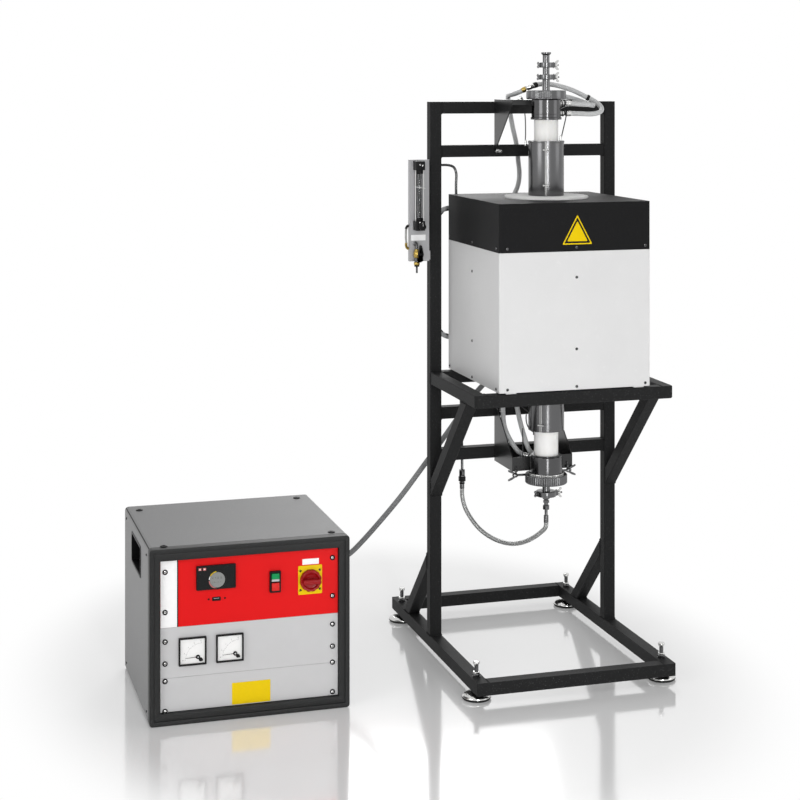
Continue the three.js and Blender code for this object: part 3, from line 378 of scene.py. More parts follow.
def dark_glass():
    """Smoked front of a display, with finger haze in its gloss."""
    finish = Finish("dark window", Specular_IOR_Level=0.2)
    haze = finish.noise(40.0, 4.0, 0.6)
    tone = finish.shade((0.004, 0.0045, 0.005), 0.8, 1.6, haze)
    return finish.finished(tone, haze * 0.18 + 0.10)


def label_plate(name, colour):
    """Printed plastic plate: even colour, matt ink and rubbed spots."""
    finish = Finish(name, Specular_IOR_Level=0.1)
    rub = finish.noise(90.0, 5.0, 0.6)
    tone = finish.shade(colour, 0.95, 1.04, rub)
    return finish.finished(tone, rub * 0.16 + 0.32, finish.bump(rub, 0.00002))


LOOKS = {}


def make_looks():
    """All finishes of the object, by the name of the thing they cover."""
    paint = colours()
    LOOKS.update({
        "stand": powder_coat("stand powder coat", paint.stand, 620.0, 0.00022, 0.58, 0.5, 0.12),
        "bracket": powder_coat("bracket paint", paint.stand, 1300.0, 0.00004, 0.30, 0.1, 0.5),
        "cover": powder_coat("cover powder coat", (0.0075, 0.0075, 0.008), 1100.0, 0.00010, 0.56, 0.15, 0.10),
        "case": powder_coat("case powder coat", paint.case, 1300.0, 0.00006, 0.42),
        "panel sheet": powder_coat("folded panel coat", (0.40, 0.40, 0.41), 1300.0, 0.00005, 0.36),
        "cabinet top": powder_coat("cabinet powder coat", (0.20, 0.20, 0.202), 750.0, 0.00016, 0.46,
                                   0.22, 0.25),
        "cabinet frame": powder_coat("cabinet frame coat", (0.015, 0.0155, 0.0155), 750.0, 0.00016, 0.44,
                                     0.3, 0.2),
        "red paint": smooth_paint("control panel paint", paint.control),
        "grey paint": smooth_paint("panel paint", (0.55, 0.55, 0.555)),
        "steel": turned_steel("turned stainless"),
        "dark steel": turned_steel("rolled head steel", (0.100, 0.100, 0.102), 0.15),
        "meter steel": turned_steel("meter steel", centre=METER[:2]),
        "shield": rolled_steel("rolled shield sheet"),
        "zinc": zinc(),
        "black screw": zinc("blackened screws", (0.012, 0.012, 0.013), 0.42),
        "brass": brass_metal(),
        "ceramic": alumina(),
        "fibre": fibre_board(),
        "water hose": braided_hose("braided water hose", (0.70, 0.71, 0.71), (0.30, 0.305, 0.31),
                                   sizes().braid),
        "gas hose": braided_hose("steel braided hose", (0.46, 0.465, 0.46), (0.012, 0.013, 0.012), 0.0075,
                                 14.0, 0.2, 0.85, 0.34),
        "cable": cable_sheath(),
        "wire": cable_sheath("thin wire sheath", (0.012, 0.012, 0.013)),
        "conduit": moulded("conduit sheath", (0.34, 0.345, 0.35), 0.36, 900.0),
        "black plastic": moulded("black moulding", (0.004, 0.004, 0.0045), Specular_IOR_Level=0.15),
        "black rubber": moulded("black rubber", (0.010, 0.010, 0.010), 0.62, 700.0, 0.00012,
                                Specular_IOR_Level=0.2),
        "white plastic": moulded("white moulding", (0.78, 0.78, 0.76), 0.34),
        "red plastic": moulded("red moulding", (0.48, 0.008, 0.010), 0.30, Specular_IOR_Level=0.2),
        "dark red plastic": moulded("dark red moulding", (0.30, 0.004, 0.006), 0.26, Specular_IOR_Level=0.2),
        "pink key": label_plate("pink key", (0.62, 0.20, 0.19)),
        "display": label_plate("display face", (0.24, 0.245, 0.24)),
        "red button": moulded("red button", (0.66, 0.020, 0.018), 0.28, Specular_IOR_Level=0.15),
        "green button": moulded("green button", (0.004, 0.27, 0.080), 0.28, Specular_IOR_Level=0.15),
        "yellow plate": label_plate("yellow plate", (0.80, 0.565, 0.002)),
        "white plate": label_plate("white plate", (0.92, 0.92, 0.92)),
        "silver plate": label_plate("silver plate", (0.50, 0.50, 0.51)),
        # Black print, also used for the flat crosses of the screw recesses: painted shade.
        "black print": label_plate("black print", (0.010, 0.010, 0.010)),
        "dial": label_plate("meter dial", (0.88, 0.88, 0.87)),
        "glass": clear_glass(),
        "dark glass": dark_glass(),
        "clear tube": moulded("clear hose", (0.30, 0.30, 0.29), 0.16, Coat_Weight=0.6),
        "copper": zinc("enamelled copper", (0.42, 0.16, 0.07), 0.34),
    })


# Surfaces


def softened(points, radius, steps=4, loop=False):
    """Rounds the corners of a profile. Each corner c becomes the curve
    (1 - t)^2 a + 2 t (1 - t) c + t^2 b, with a and b the given radius away along its two sides."""
    p = np.asarray(points, float)
    if loop:
        before, middles, after = np.roll(p, 1, axis=0), p, np.roll(p, -1, axis=0)
    else:
        before, middles, after = p[:-2], p[1:-1], p[2:]

    def towards(other):
        side = other - middles
        length = np.linalg.norm(side, axis=1, keepdims=True)
        return (middles + side * np.minimum(radius / length, 0.48))[:, None]

    t = np.linspace(0, 1, steps)[None, :, None]
    arcs = (1 - t) ** 2 * towards(before) + 2 * t * (1 - t) * middles[:, None] + t * t * towards(after)
    arcs = arcs.reshape(-1, 2)
    return arcs if loop else np.vstack([p[:1], arcs, p[-1:]])


def box_outline(x0, x1, y0, y1, radius, steps=6):
    """Rectangle with round corners, anticlockwise."""
    return softened([(x0, y0), (x1, y0), (x1, y1), (x0, y1)], radius, steps, loop=True)


def hexagon(across, phase=0.0):
    """Hexagon of a width across flats about the origin: its corners stand at radius across / sqrt 3,
    a sixth of a turn apart from phase on, and are just softened."""
    angle = phase + np.arange(6) * math.tau / 6
    radius = across / math.sqrt(3)
    return softened(np.stack([radius * np.cos(angle), radius * np.sin(angle)], 1), across * 0.04, 3,
                    loop=True)


def inset(outline, distance):
    """Moves every point of an anticlockwise outline inwards, along the mean normal of its two sides."""
    after = np.roll(outline, -1, axis=0) - outline
    after /= np.linalg.norm(after, axis=1, keepdims=True) + 1e-12
    normal = np.stack([after[:, 1], -after[:, 0]], 1)
    normal = normal + np.roll(normal, 1, axis=0)
    length = np.linalg.norm(normal, axis=1, keepdims=True) + 1e-12
    return outline - normal / length * (2 / length) * distance


def smooth_route(points, spacing=0.006):
    """A centripetal Catmull-Rom curve through the points: between two of them the curve is the cubic
    whose end slopes come from the neighbours, spaced in time by the square roots of their distances."""
    p = np.asarray(points, float)
    p = np.vstack([2 * p[0] - p[1], p, 2 * p[-1] - p[-2]])
    out = []
    for a, b, c, d in zip(p[:-3], p[1:-2], p[2:-1], p[3:]):
        gaps = [max(np.linalg.norm(k - j) ** 0.5, 1e-6) for j, k in ((a, b), (b, c), (c, d))]
        start = ((b - a) / gaps[0] - (c - a) / (gaps[0] + gaps[1]) + (c - b) / gaps[1]) * gaps[1]
        end = ((c - b) / gaps[1] - (d - b) / (gaps[1] + gaps[2]) + (d - c) / gaps[2]) * gaps[1]
        count = max(int(np.linalg.norm(c - b) / spacing), 2)
        t = np.arange(count)[:, None] / count
        out.append(b + start * t + (3 * (c - b) - 2 * start - end) * t ** 2
                   + (2 * (b - c) + start + end) * t ** 3)
    return np.vstack([*out, p[-2:-1]])


def walked(path):
    """Length walked along a path up to each of its stations."""
    return np.concatenate([[0], np.cumsum(np.linalg.norm(np.diff(path, axis=0), axis=1))])


def route_length(path):
    return float(np.linalg.norm(np.diff(path, axis=0), axis=1).sum())


def stretch(path, start, stop, count):
    """As many points of a path, evenly spaced between two lengths walked along it."""
    at = np.linspace(start, stop, count)
    return np.stack([np.interp(at, walked(path), path[:, k]) for k in range(3)], 1)


def frames_along(path):
    """Two directions across the path at each station, carried along it without twist."""
    tangent = np.gradient(path, axis=0)
    tangent /= np.linalg.norm(tangent, axis=1, keepdims=True)
    seed = np.eye(3)[np.argmin(abs(tangent[0]))]
    normals = [np.cross(tangent[0], seed)]
    for t in tangent[1:]:
        carried = normals[-1] - t * (normals[-1] @ t)
        normals.append(carried / np.linalg.norm(carried))
    normals = np.array(normals) / np.linalg.norm(normals[0])
    return normals, np.cross(tangent, normals)


# Points of each quarter circle on a plate's rims
RIM_STEPS = 4
# Points of a mesh that are closer than this are made one
MERGED_WITHIN = 2e-6
# Edges that turn by more are drawn sharp
SHARP_FROM = math.radians(32.0)


class Piece:
    """Surfaces gathered into one mesh. Each surface is a grid of points p[i, j]."""

    def __init__(self):
        self.points, self.faces, self.uvs, self.looks, self.count = [], [], [], [], 0

    def surface(self, p, look=0, around=True, along=False):
        """Adds p[i, j]: j runs round the section and i along the shape. Its UV is the share of a
        turn and the metres walked along i."""
        p = np.asarray(p, float)
        n, m = p.shape[:2]
        ids = self.count + np.arange(n * m).reshape(n, m)
        i, j = np.meshgrid(np.arange(n if along else n - 1), np.arange(m if around else m - 1),
                           indexing="ij")
        i1, j1 = (i + 1) % n, (j + 1) % m
        quads = np.stack([ids[i, j], ids[i, j1], ids[i1, j1], ids[i1, j]], -1).reshape(-1, 4)
        steps = np.linalg.norm(np.diff(np.vstack([p[:, 0], p[:1, 0]]), axis=0), axis=1)
        walk = np.concatenate([[0], np.cumsum(steps)])
        u = np.stack([j, j + 1, j + 1, j], -1) / m
        v = np.stack([walk[i], walk[i], walk[i + 1], walk[i + 1]], -1)
        self.points.append(p.reshape(-1, 3))
        self.faces.extend(quads.tolist())
        self.uvs.append(np.stack([u, v], -1).reshape(-1, 2))
        self.looks.extend([look] * len(quads))
        self.count += n * m
        return self

    def cap(self, ring, look=0):
        """Closes a ring of points with one flat face."""
        ring = np.asarray(ring, float)
        self.points.append(ring)
        self.faces.append(list(range(self.count, self.count + len(ring))))
        self.uvs.append(np.zeros((len(ring), 2)))
        self.looks.append(look)
        self.count += len(ring)
        return self

    def turned(self, profile, centre, axis="z", segments=72, look=0, loop=False, soft=0.0, flutes=None):
        """Surface of revolution: a profile of (radius, height) pairs carried round an axis, where
        flutes, if given, adds a length to the radius as a function of height row and angle."""
        profile = np.asarray(profile, float)
        if soft:
            profile = softened(profile, soft, 4, loop)
        across, up, along = PLANES[axis]
        angle = np.arange(segments) * math.tau / segments
        radius = profile[:, :1] + (0 if flutes is None else flutes(profile, angle))
        p = (np.asarray(centre, float) + radius[..., None] * np.cos(angle)[None, :, None] * across
             + radius[..., None] * np.sin(angle)[None, :, None] * up + profile[:, 1][:, None, None] * along)
        return self.surface(p, look, along=loop)

    def pin(self, radius, low, high, *placed, **more):
        """Solid cylinder between two heights, turned as the other surfaces of revolution."""
        return self.turned([(0, low), (radius, low), (radius, high), (0, high)], *placed, **more)

    def ring(self, inner, outer, low, high, *placed, **more):
        """Ring of rectangular section between two radii and two heights."""
        profile = [(inner, low), (outer, low), (outer, high), (inner, high)]
        return self.turned(profile, *placed, loop=True, **more)

    def slab(self, outline, low, high, edge=0.0008, axis="z", look=0, hole=None, origin=(0, 0, 0)):
        """Plate of an outline in the plane across an axis, from low to high along it. Its rims are
        quarter circles: inset edge (1 - sin t), height edge (1 - cos t). A hole has as many points."""
        across, up, along = PLANES[axis]
        t = np.linspace(0, math.pi / 2, RIM_STEPS)
        inward = np.concatenate([edge * (1 - np.sin(t)), edge * (1 - np.sin(t[::-1]))])
        height = np.concatenate([low + edge * (1 - np.cos(t)), high - edge * (1 - np.cos(t[::-1]))])

        def rings(shape, insets, heights):
            flat = np.stack([inset(shape, d) for d in insets])
            return (np.asarray(origin, float) + flat[..., :1] * across + flat[..., 1:] * up
                    + np.asarray(heights)[:, None, None] * along)

        outside = rings(np.asarray(outline, float), inward, height)
        if hole is None:
            return self.surface(outside, look).cap(outside[0], look).cap(outside[-1], look)
        inside = rings(np.asarray(hole, float), -inward[::-1], height[::-1])
        return self.surface(np.concatenate([outside, inside]), look, along=True)

    def block(self, low, high, edge=0.0008, look=0, corner_radius=0.0, axis="z"):
        """Box between two corners with rounded edges."""
        low, high = np.asarray(low, float), np.asarray(high, float)
        across, up, along = (int(np.argmax(d)) for d in PLANES[axis])
        outline = box_outline(low[across], high[across], low[up], high[up], corner_radius or edge, 4)
        return self.slab(outline, low[along], high[along], edge, axis, look)

    def swept(self, path, radius, segments, look=0):
        """A round section carried along a path: station + radius (cos a first + sin a second), where
        first and second point across the path. The radius may change from station to station."""
        path = np.asarray(path, float)
        first, second = frames_along(path)
        angle = np.arange(segments) * math.tau / segments
        size = np.broadcast_to(np.asarray(radius, float), len(path))[:, None, None]
        ring = np.cos(angle)[None, :, None] * first[:, None] + np.sin(angle)[None, :, None] * second[:, None]
        p = path[:, None] + size * ring
        return self.surface(p, look).cap(p[0], look).cap(p[-1], look)

    def make(self, name, looks, slot, body=ROOT, replaces=()):
        """Puts the mesh together: merges doubles, turns its faces outwards and lets it ride."""
        mesh = bpy.data.meshes.new(name)
        mesh.from_pydata(np.concatenate(self.points).tolist(), [], self.faces)
        uv = mesh.uv_layers.new(name="UVMap")
        uv.data.foreach_set("uv", np.concatenate(self.uvs).astype(np.float32).ravel())
        mesh.polygons.foreach_set("material_index", self.looks)
        work = bmesh.new()
        work.from_mesh(mesh)
        bmesh.ops.remove_doubles(work, verts=work.verts, dist=MERGED_WITHIN)
        bmesh.ops.recalc_face_normals(work, faces=work.faces)
        work.to_mesh(mesh)
        work.free()
        mesh.shade_smooth()
        mesh.set_sharp_from_angle(angle=SHARP_FROM)
        for look in [looks] if isinstance(looks, str) else looks:
            mesh.materials.append(LOOKS[look])
        piece = bpy.data.objects.new(name, mesh)
        bpy.context.scene.collection.objects.link(piece)
        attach(piece, body)
        if replaces:
            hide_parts(*replaces)
        return piece


def dress(look, *nodes):
    """Gives CAD nodes that stay in view their finish."""
    for node in nodes:
        mesh = frame["nodes"][node].data
        mesh.materials.clear()
        mesh.materials.append(LOOKS[look])


def stand_point(x, y, z):
    """A place measured from the tube's axis at floor level."""
    return STAND + (x, y, z)


def stand_route(points):
    """A route given in millimetres from the tube's axis at floor level."""
    return np.asarray(points, float) / 1000 + STAND


# Stage, cords and hoses

# Camera: place in metres, turn in degrees, lens and sensor in millimetres
CAMERA_PLACE, CAMERA_TURN = (-1.39888, -4.85018, 1.69062), (90.0, 0.0, -16.48)
LENS, SENSOR, SHIFT_UP = 77.70, 36.0, -0.3958
# Lamps: place, the point that each looks at, width and height, and watts
LAMPS = {
    "key lamp": ((-0.50, -5.1, 1.7), (0.3, 0, 1.1), (0.36, 3.0), 74),
    "low strip lamp": ((0.15, -1.645, 0.27), (0.427, -0.17, 0.40), (0.20, 0.36), 2.1),
    "left lamp": ((-4.2, -2.4, 2.4), (0.1, 0, 0.8), (2.2, 2.4), 49),
    "right lamp": ((4.2, -2.6, 2.4), (0.2, 0, 0.8), (2.2, 2.4), 18),
    "top lamp": ((0.2, -0.6, 4.6), (0.2, 0, 0.6), (2.4, 2.4), 13),
    "rear lamp": ((1.2, 3.8, 3.0), (0.2, 0, 0.9), (1.6, 2.2), 46),
}
# Strength of the surroundings to the eye and as light
SKY_SEEN, SKY_LIGHT = 1.0, 0.38
# The floor starts to turn white at one distance from the middle and is plain white at the other
WHITE_FROM, WHITE_WHOLLY = 0.82, 1.14
FLOOR_REACH, FLOOR_DROP = 30.0, 0.0006
FLOOR_COLOUR, FLOOR_GLOW = (0.80, 0.80, 0.80), 0.14


def area_light(name, place, aim, size, power):
    """A soft lamp, wide and tall by size, that looks at a point."""
    lamp = bpy.data.lights.new(name, "AREA")
    lamp.shape, lamp.size, lamp.size_y, lamp.energy = "RECTANGLE", *size, power
    made = bpy.data.objects.new(name, lamp)
    made.location, made.visible_camera = place, False
    made.rotation_euler = (Vector(aim) - Vector(place)).to_track_quat("-Z", "Y").to_euler()
    bpy.context.scene.collection.objects.link(made)


def seen_rays(finish):
    """1 for rays that show the surroundings: from the camera, in a mirror or through glass."""
    path = finish.node("ShaderNodeLightPath")
    outputs = path.output.node.outputs
    camera, glossy, through = (Value(finish, outputs[key]) for key in
                               ("Is Camera Ray", "Is Glossy Ray", "Is Transmission Ray"))
    return camera.either(glossy).either(through)


def floor_finish():
    """Pale floor that keeps shadows near the object and turns plain white further away."""
    finish = Finish("pale floor", roughness=0.10, Specular_IOR_Level=1.0, IOR=2.4)
    finish.feed("Base Color", FLOOR_COLOUR)
    x, y, _ = finish.split(finish.place())
    far = ((x ** 2.0 + (y * 0.8) ** 2.0) ** 0.5).between(WHITE_FROM, WHITE_WHOLLY)
    white = finish.node("ShaderNodeEmission", None, (1, 1, 1), 1.0)
    lit = finish.node("ShaderNodeEmission", None, (1, 1, 1), FLOOR_GLOW)
    added = finish.node("ShaderNodeAddShader", None, Value(finish, finish.surface.outputs[0]), lit)
    blend = finish.node("ShaderNodeMixShader", None, far * seen_rays(finish), added, white)
    output = finish.tree.nodes["Material Output"]
    finish.tree.links.new(blend.output, output.inputs["Surface"])
    return finish.material


class FURNACE_OT_stage(bpy.types.Operator):
    """Camera, lamps, world and floor"""

    bl_idname = "furnace.stage"
    bl_label = "Stage"

    def execute(self, context):
        scene = context.scene
        scene.view_settings.view_transform = "Standard"
        lens = bpy.data.cameras.new("camera")
        lens.lens, lens.sensor_width, lens.shift_y = LENS, SENSOR, SHIFT_UP
        camera = bpy.data.objects.new("camera", lens)
        camera.location = CAMERA_PLACE
        camera.rotation_euler = [math.radians(turn) for turn in CAMERA_TURN]
        scene.collection.objects.link(camera)
        scene.camera = camera

        world = bpy.data.worlds.new("studio")
        scene.world = world
        world.use_nodes = True
        sky = Finish.__new__(Finish)
        sky.tree = world.node_tree
        background = sky.tree.nodes["Background"]
        sky.connect(background.inputs["Color"], (1, 1, 1))
        sky.connect(background.inputs["Strength"], seen_rays(sky) * (SKY_SEEN - SKY_LIGHT) + SKY_LIGHT)
        for name, (place, aim, size, power) in LAMPS.items():
            area_light(name, place, aim, size, power)

        mesh = bpy.data.meshes.new("floor")
        sides = ((-1, -1), (1, -1), (1, 1), (-1, 1))
        mesh.from_pydata([(x * FLOOR_REACH, y * FLOOR_REACH, 0) for x, y in sides], [], [(0, 1, 2, 3)])
        floor = bpy.data.objects.new("floor", mesh)
        floor.location.z = -FLOOR_DROP
        mesh.materials.append(floor_finish())
        scene.collection.objects.link(floor)
        make_looks()
        return {"FINISHED"}


HOSE_RADIUS, GAS_HOSE_RADIUS, CABLE_RADIUS = 0.0071, 0.0064, 0.0079
SLEEVE_POINTS, BOOT_POINTS, BOOT_RIBS = 40, 70, 7
# Height of the lug that holds the water couplings on the back frame
LUG_TOP = 0.720

# Routes in millimetres, from the tube's axis at floor level
GAS_HOSE = [
    (-178, 235, 475.7), (-178, 235, 460), (-176, 232, 440), (-170, 225, 416), (-157, 207, 388),
    (-140, 185, 364), (-119, 157, 347), (-96, 127, 338), (-70, 92, 338), (-45, 59, 350), (-24, 31, 370),
    (-10, 13, 388), (-2, 3, 401), (0, 0, 410), (0, 0, 417.7)]
POWER_CABLE = [
    (-790, 364.3, 90), (-790, 400, 90), (-781, 435, 92), (-755, 461, 97), (-720, 472, 106), (-675, 470, 127),
    (-600, 452, 172), (-535, 426, 220), (-481, 400, 262), (-453, 388, 292), (-398, 361, 362),
    (-343, 332, 438), (-288, 304, 522), (-230, 280, 610), (-188, 268, 672), (-130, 270, 745),
    (-105, 270, 771), (-80, 269, 797), (-55, 264, 822), (-30, 259, 843), (-8, 256, 859), (9.7, 255, 865),
    (19.7, 255, 865)]
RETURN_HOSE = [
    (62.7, 8, 1603), (80, 8, 1603), (112, 9, 1602), (150, 14, 1601), (180, 28, 1606), (196, 52, 1616),
    (197, 78, 1629), (186, 98, 1641), (163, 106, 1653), (133, 106, 1667), (99, 102, 1678), (57, 95, 1687),
    (12, 88, 1688), (-17, 88, 1680), (-38, 97, 1669), (-50, 125, 1660), (-50, 165, 1656), (-42, 205, 1652),
    (-30, 236, 1636), (-20, 250, 1604), (-10, 251, 1555), (1, 251, 1508), (7, 251, 1458), (11, 251, 1412),
    (6, 251, 1380), (-7, 251, 1350), (-20, 250, 1315), (-29, 247, 1260), (-33, 243, 1180), (-35, 240, 1080),
    (-37, 240, 1000), (-44, 240, 870), (-54, 240, 805), (-60, 240, 765), (-62, 240, 742), (-62, 240, 720.3)]
RISER_HOSE = [
    (62.7, 8, 1632), (80, 8, 1632), (109, 9, 1630), (140, 16, 1628), (160, 34, 1626), (169, 58, 1626),
    (166, 86, 1630), (148, 114, 1640), (122, 140, 1650), (100, 170, 1655), (90, 205, 1654), (88, 234, 1634),
    (89, 239, 1592), (89, 236, 1540), (89, 236, 1487), (92, 236, 1430), (88, 236, 1370), (72, 236, 1300),
    (45, 236, 1225), (16, 236, 1150), (0, 236, 1080), (-6, 236, 1000), (-14, 238, 880), (-27, 234, 808),
    (-30, 205, 770), (-31, 170, 741), (-33, 128, 690), (-30, 100, 650), (-22, 84, 615), (-16, 64, 603),
    (-14.1, 56.9, 603)]
SUPPLY_HOSE = [
    (-36, 240, 720.3), (-36, 240, 736), (-38, 241, 752), (-44, 235, 768), (-54, 212, 776), (-68, 178, 754),
    (-79, 148, 712), (-84, 120, 676), (-74, 96, 640), (-56, 76, 610), (-40, 54, 603), (-34.4, 46.8, 603)]


class FURNACE_OT_cords(bpy.types.Operator):
    """Flexible gas hose and power cable"""

    bl_idname = "furnace.cords"
    bl_label = "Cords"

    def execute(self, context):
        for name, node, points, radius, look, slot, lay in (
                ("braided_gas_hose", "gas_hose", GAS_HOSE, GAS_HOSE_RADIUS, "gas hose", "steel_hose",
                 "hanging"),
                ("sheathed_power_cable", "power_cable", POWER_CABLE, CABLE_RADIUS, "cable", "cable",
                 "loose")):
            path = smooth_route(stand_route(points), 0.004)
            made = Piece().swept(path, radius, 24).make(name, look, slot=slot, replaces=[node])
            route_length(path)
        return {"FINISHED"}


def sleeve(piece, path, start, stop, radius, look=0, ribs=0):
    """A crimped sleeve round a hose between two lengths walked along it. Its radius falls by a
    twentieth between its ribs, by (1 - cos) / 2, and by 0.18 towards its ends, as a square root."""
    t = (np.linspace(start, stop, SLEEVE_POINTS) - start) / (stop - start)
    swell = np.minimum(1, np.sqrt(np.clip(np.minimum(t, 1 - t) * 14, 0, 1))) * 0.18 + 0.82
    size = radius * swell * (1 - 0.05 * (0.5 - 0.5 * np.cos(t * math.tau * ribs)))
    piece.swept(stretch(path, start, stop, SLEEVE_POINTS), size, 24, look)


class FURNACE_OT_hoses(bpy.types.Operator):
    """Cooling water hoses with their sleeves, clips and couplings"""

    bl_idname = "furnace.hoses"
    bl_label = "Water hoses"

    def execute(self, context):
        fittings = Piece()
        for name, points in (("return", RETURN_HOSE), ("riser", RISER_HOSE), ("supply", SUPPLY_HOSE)):
            path = smooth_route(stand_route(points), 0.005)
            Piece().swept(path, HOSE_RADIUS, 20).make(f"{name}_hose", "water hose", slot="hose",
                                                      replaces=[f"water_hose_{name}"])
            total = route_length(path)
            sleeve(fittings, path, 0.0005, 0.017, 0.0084, 0, 3)
            sleeve(fittings, path, total - 0.017, total - 0.0005, 0.0084, 0, 3)
            if name == "return":
                sleeve(fittings, path, 0.218, 0.227, 0.0083, 2)
                sleeve(fittings, path, 0.400, 0.412, 0.0084, 2)
                sleeve(fittings, path, 0.412, 0.434, 0.0082, 0, 2)
                sleeve(fittings, path, 0.436, 0.448, 0.0080, 1, 2)
        for x in (-0.062, -0.036):
            centre = stand_point(x, 0.240, 0)
            fittings.turned([(0, LUG_TOP - .030), (.0055, LUG_TOP - .030), (.0065, LUG_TOP - .026),
                             (.0065, LUG_TOP - .008), (0, LUG_TOP - .008)], centre, soft=.0004, segments=32)
            for low, high in ((-.016, -.0083), (.0003, .0075)):
                fittings.slab(hexagon(.017), LUG_TOP + low, LUG_TOP + high, .0009, origin=centre)
        fittings.make("hose_fittings", ["zinc", "brass", "black rubber"], slot="steel")
        return {"FINISHED"}


# Stand


BEAD_STEP, BEAD_RIPPLE, BEAD_TAPER = 0.0008, 0.0025, 0.003


def bead(piece, start, end, half_width):
    """A weld bead between two points: a round ridge of radius half_width (0.86 + 0.14 cos) with one
    wave to a ripple, which falls over the taper at its ends as a square root."""
    start, end = stand_point(*start), stand_point(*end)
    length = np.linalg.norm(end - start)
    t = np.linspace(0, 1, max(int(length / BEAD_STEP), 8))
    ends = np.minimum(1, np.sqrt(np.minimum(t, 1 - t) * length / BEAD_TAPER) + 0.2)
    size = half_width * (0.86 + 0.14 * np.cos(t * length * math.tau / BEAD_RIPPLE)) * ends
    piece.swept(start + (end - start) * t[:, None], size, 8)


TUBE, HALF_WIDTH, POST_FRONT, POST_BACK = 0.035, 0.295, 0.180, 0.215
INSIDE = HALF_WIDTH - TUBE
BASE_TOP, BASE_SEAM, SHELF_LOW, SHELF_TOP = 0.060, 0.0602, 0.803, 0.838
# Heights between which the shelf's braces and the rear braces meet the posts
SHELF_BRACE, REAR_BRACE = (0.4715, 0.5205), (0.248, 0.2975)
RAIL_TOPS = (0.609, 0.733, SHELF_TOP, 1.507, 1.636)


class FURNACE_OT_stand(bpy.types.Operator):
    """Stand with its weld beads"""

    bl_idname = "furnace.stand"
    bl_label = "Stand"

    def execute(self, context):
        dress("stand", "base_frame", "back_frame", "shelf_frame")
        welds = Piece()
        half = sizes().weld
        for side in (-1, 1):
            inner, outer = side * INSIDE, side * HALF_WIDTH
            for top in RAIL_TOPS:
                for y in (POST_FRONT, POST_BACK):
                    bead(welds, (inner, y, top - TUBE), (inner, y, top), half)
                bead(welds, (inner, POST_FRONT, top - TUBE), (inner, POST_BACK, top - TUBE), half)
            for y in (POST_FRONT, POST_BACK):
                bead(welds, (inner, y, BASE_SEAM), (outer, y, BASE_SEAM), half)
            for x in (inner, outer):
                for (y0, z0), (y1, z1) in (
                        ((POST_FRONT, BASE_SEAM), (POST_BACK, BASE_SEAM)),
                        ((POST_FRONT, SHELF_LOW), (POST_FRONT, SHELF_TOP)),
                        ((POST_FRONT, SHELF_BRACE[0]), (POST_FRONT, SHELF_BRACE[1])),
                        ((-0.152, SHELF_LOW), (-0.1025, SHELF_LOW)),
                        ((POST_BACK, REAR_BRACE[0]), (POST_BACK, REAR_BRACE[1])),
                        ((0.403, BASE_TOP), (0.4525, BASE_TOP))):
                    bead(welds, (x, y0, z0), (x, y1, z1), half)
            for y, z in ((POST_FRONT, SHELF_BRACE[1]), (POST_BACK, REAR_BRACE[1])):
                bead(welds, (inner, y, z), (outer, y, z), half)
            for y, run, z in ((-0.244, 0.035, BASE_TOP), (0.586, -0.035, BASE_TOP),
                              (-0.230, 0.035, SHELF_TOP)):
                bead(welds, (inner, y, z), (inner, y + run, z), half * 0.6)
        welds.make("weld_beads", "stand", slot="stand_paint")
        return {"FINISHED"}


def thread(low, high, radius, pitch, depth):
    """Profile of a threaded rod: the radius falls and rises by the thread's depth each pitch."""
    count = int((high - low) / pitch)
    z = low + np.arange(2 * count + 1) * (high - low) / (2 * count)
    return np.stack([radius - depth * (np.arange(2 * count + 1) % 2), z], 1)


class FURNACE_OT_feet(bpy.types.Operator):
    """Levelling feet: domed disc, threaded stud, nuts and hexagon head"""

    bl_idname = "furnace.feet"
    bl_label = "Levelling feet"

    def execute(self, context):
        for place in ("front_left", "front_right", "back_left", "back_right"):
            node = f"levelling_foot_{place}"
            x, y, _ = middle(node)
            centre = (x, y, 0)
            foot = Piece()
            foot.turned([(0, .0004), (.0380, .0004), (.0400, .0040), (.0400, .0058), (0, .0058)], centre,
                        soft=.0006, look=1)
            foot.turned([(0, .0060), (.0398, .0060), (.0400, .0078), (.0380, .0118), (.0310, .0152),
                         (.0180, .0172), (.0125, .0186), (.0085, .0192), (0, .0192)], centre, soft=.0030)
            foot.turned(np.vstack([[(0, .0155)], thread(.0158, .0995, .0060, .00175, .0007), [(0, .1012)]]),
                        centre, segments=28, look=2)
            foot.slab(hexagon(.0190, .2), .0158, .0245, .0013, origin=centre)
            foot.ring(.0063, .0115, .0602, .0618, centre, soft=.0003, segments=40, look=2)
            foot.slab(hexagon(.0190, .5), .0619, .0692, .0013, origin=centre, look=2)
            foot.slab(hexagon(.0185, .1), .0694, .0748, .0013, origin=centre)
            foot.turned([(0, .0925), (.0070, .0925), (.0090, .0965), (.0094, .1010), (.0080, .1030),
                         (0, .1030)], centre, segments=32, soft=.0006)
            foot.make(f"foot_{place}", ["zinc", "black rubber", "steel"], slot="steel", replaces=[node])
        return {"FINISHED"}


# Furnace case


def screw(piece, place, axis, sign, radius, look=0, dark=1):
    """Pan head screw with a cross recess, standing out of a wall along an axis; sign says which way. The
    recess is no hollow but a flat cross of the dark look just proud of the head: painted shade.
    """
    across, up, along = PLANES[axis]
    rise = sign * radius * 0.55
    profile = [(0, 0), (radius, 0), (radius * .97, rise * .45), (radius * .70, rise * .88),
               (radius * .30, rise), (0, rise)]
    piece.turned(profile, place, axis, 20, look, soft=radius * .08)
    # The two bars of the cross recess, flat plates in the dark look: painted shade in the recess.
    for first, second in ((across, up), (up, across)):
        arm = (np.array([[-1, -1], [1, -1], [1, 1], [-1, 1]]) * (radius * .62, radius * .13))
        ring = np.asarray(place) + along * (rise * 1.03) + arm[:, :1] * first + arm[:, 1:] * second
        piece.cap(ring, dark)


# Screws of the case: their heights, and their places along each wall
CASE_ROWS = ((1.236, (-.201, .003, .210)), (1.153, (.003,)), (.954, (.003,)), (.850, (-.201, .003, .210)))


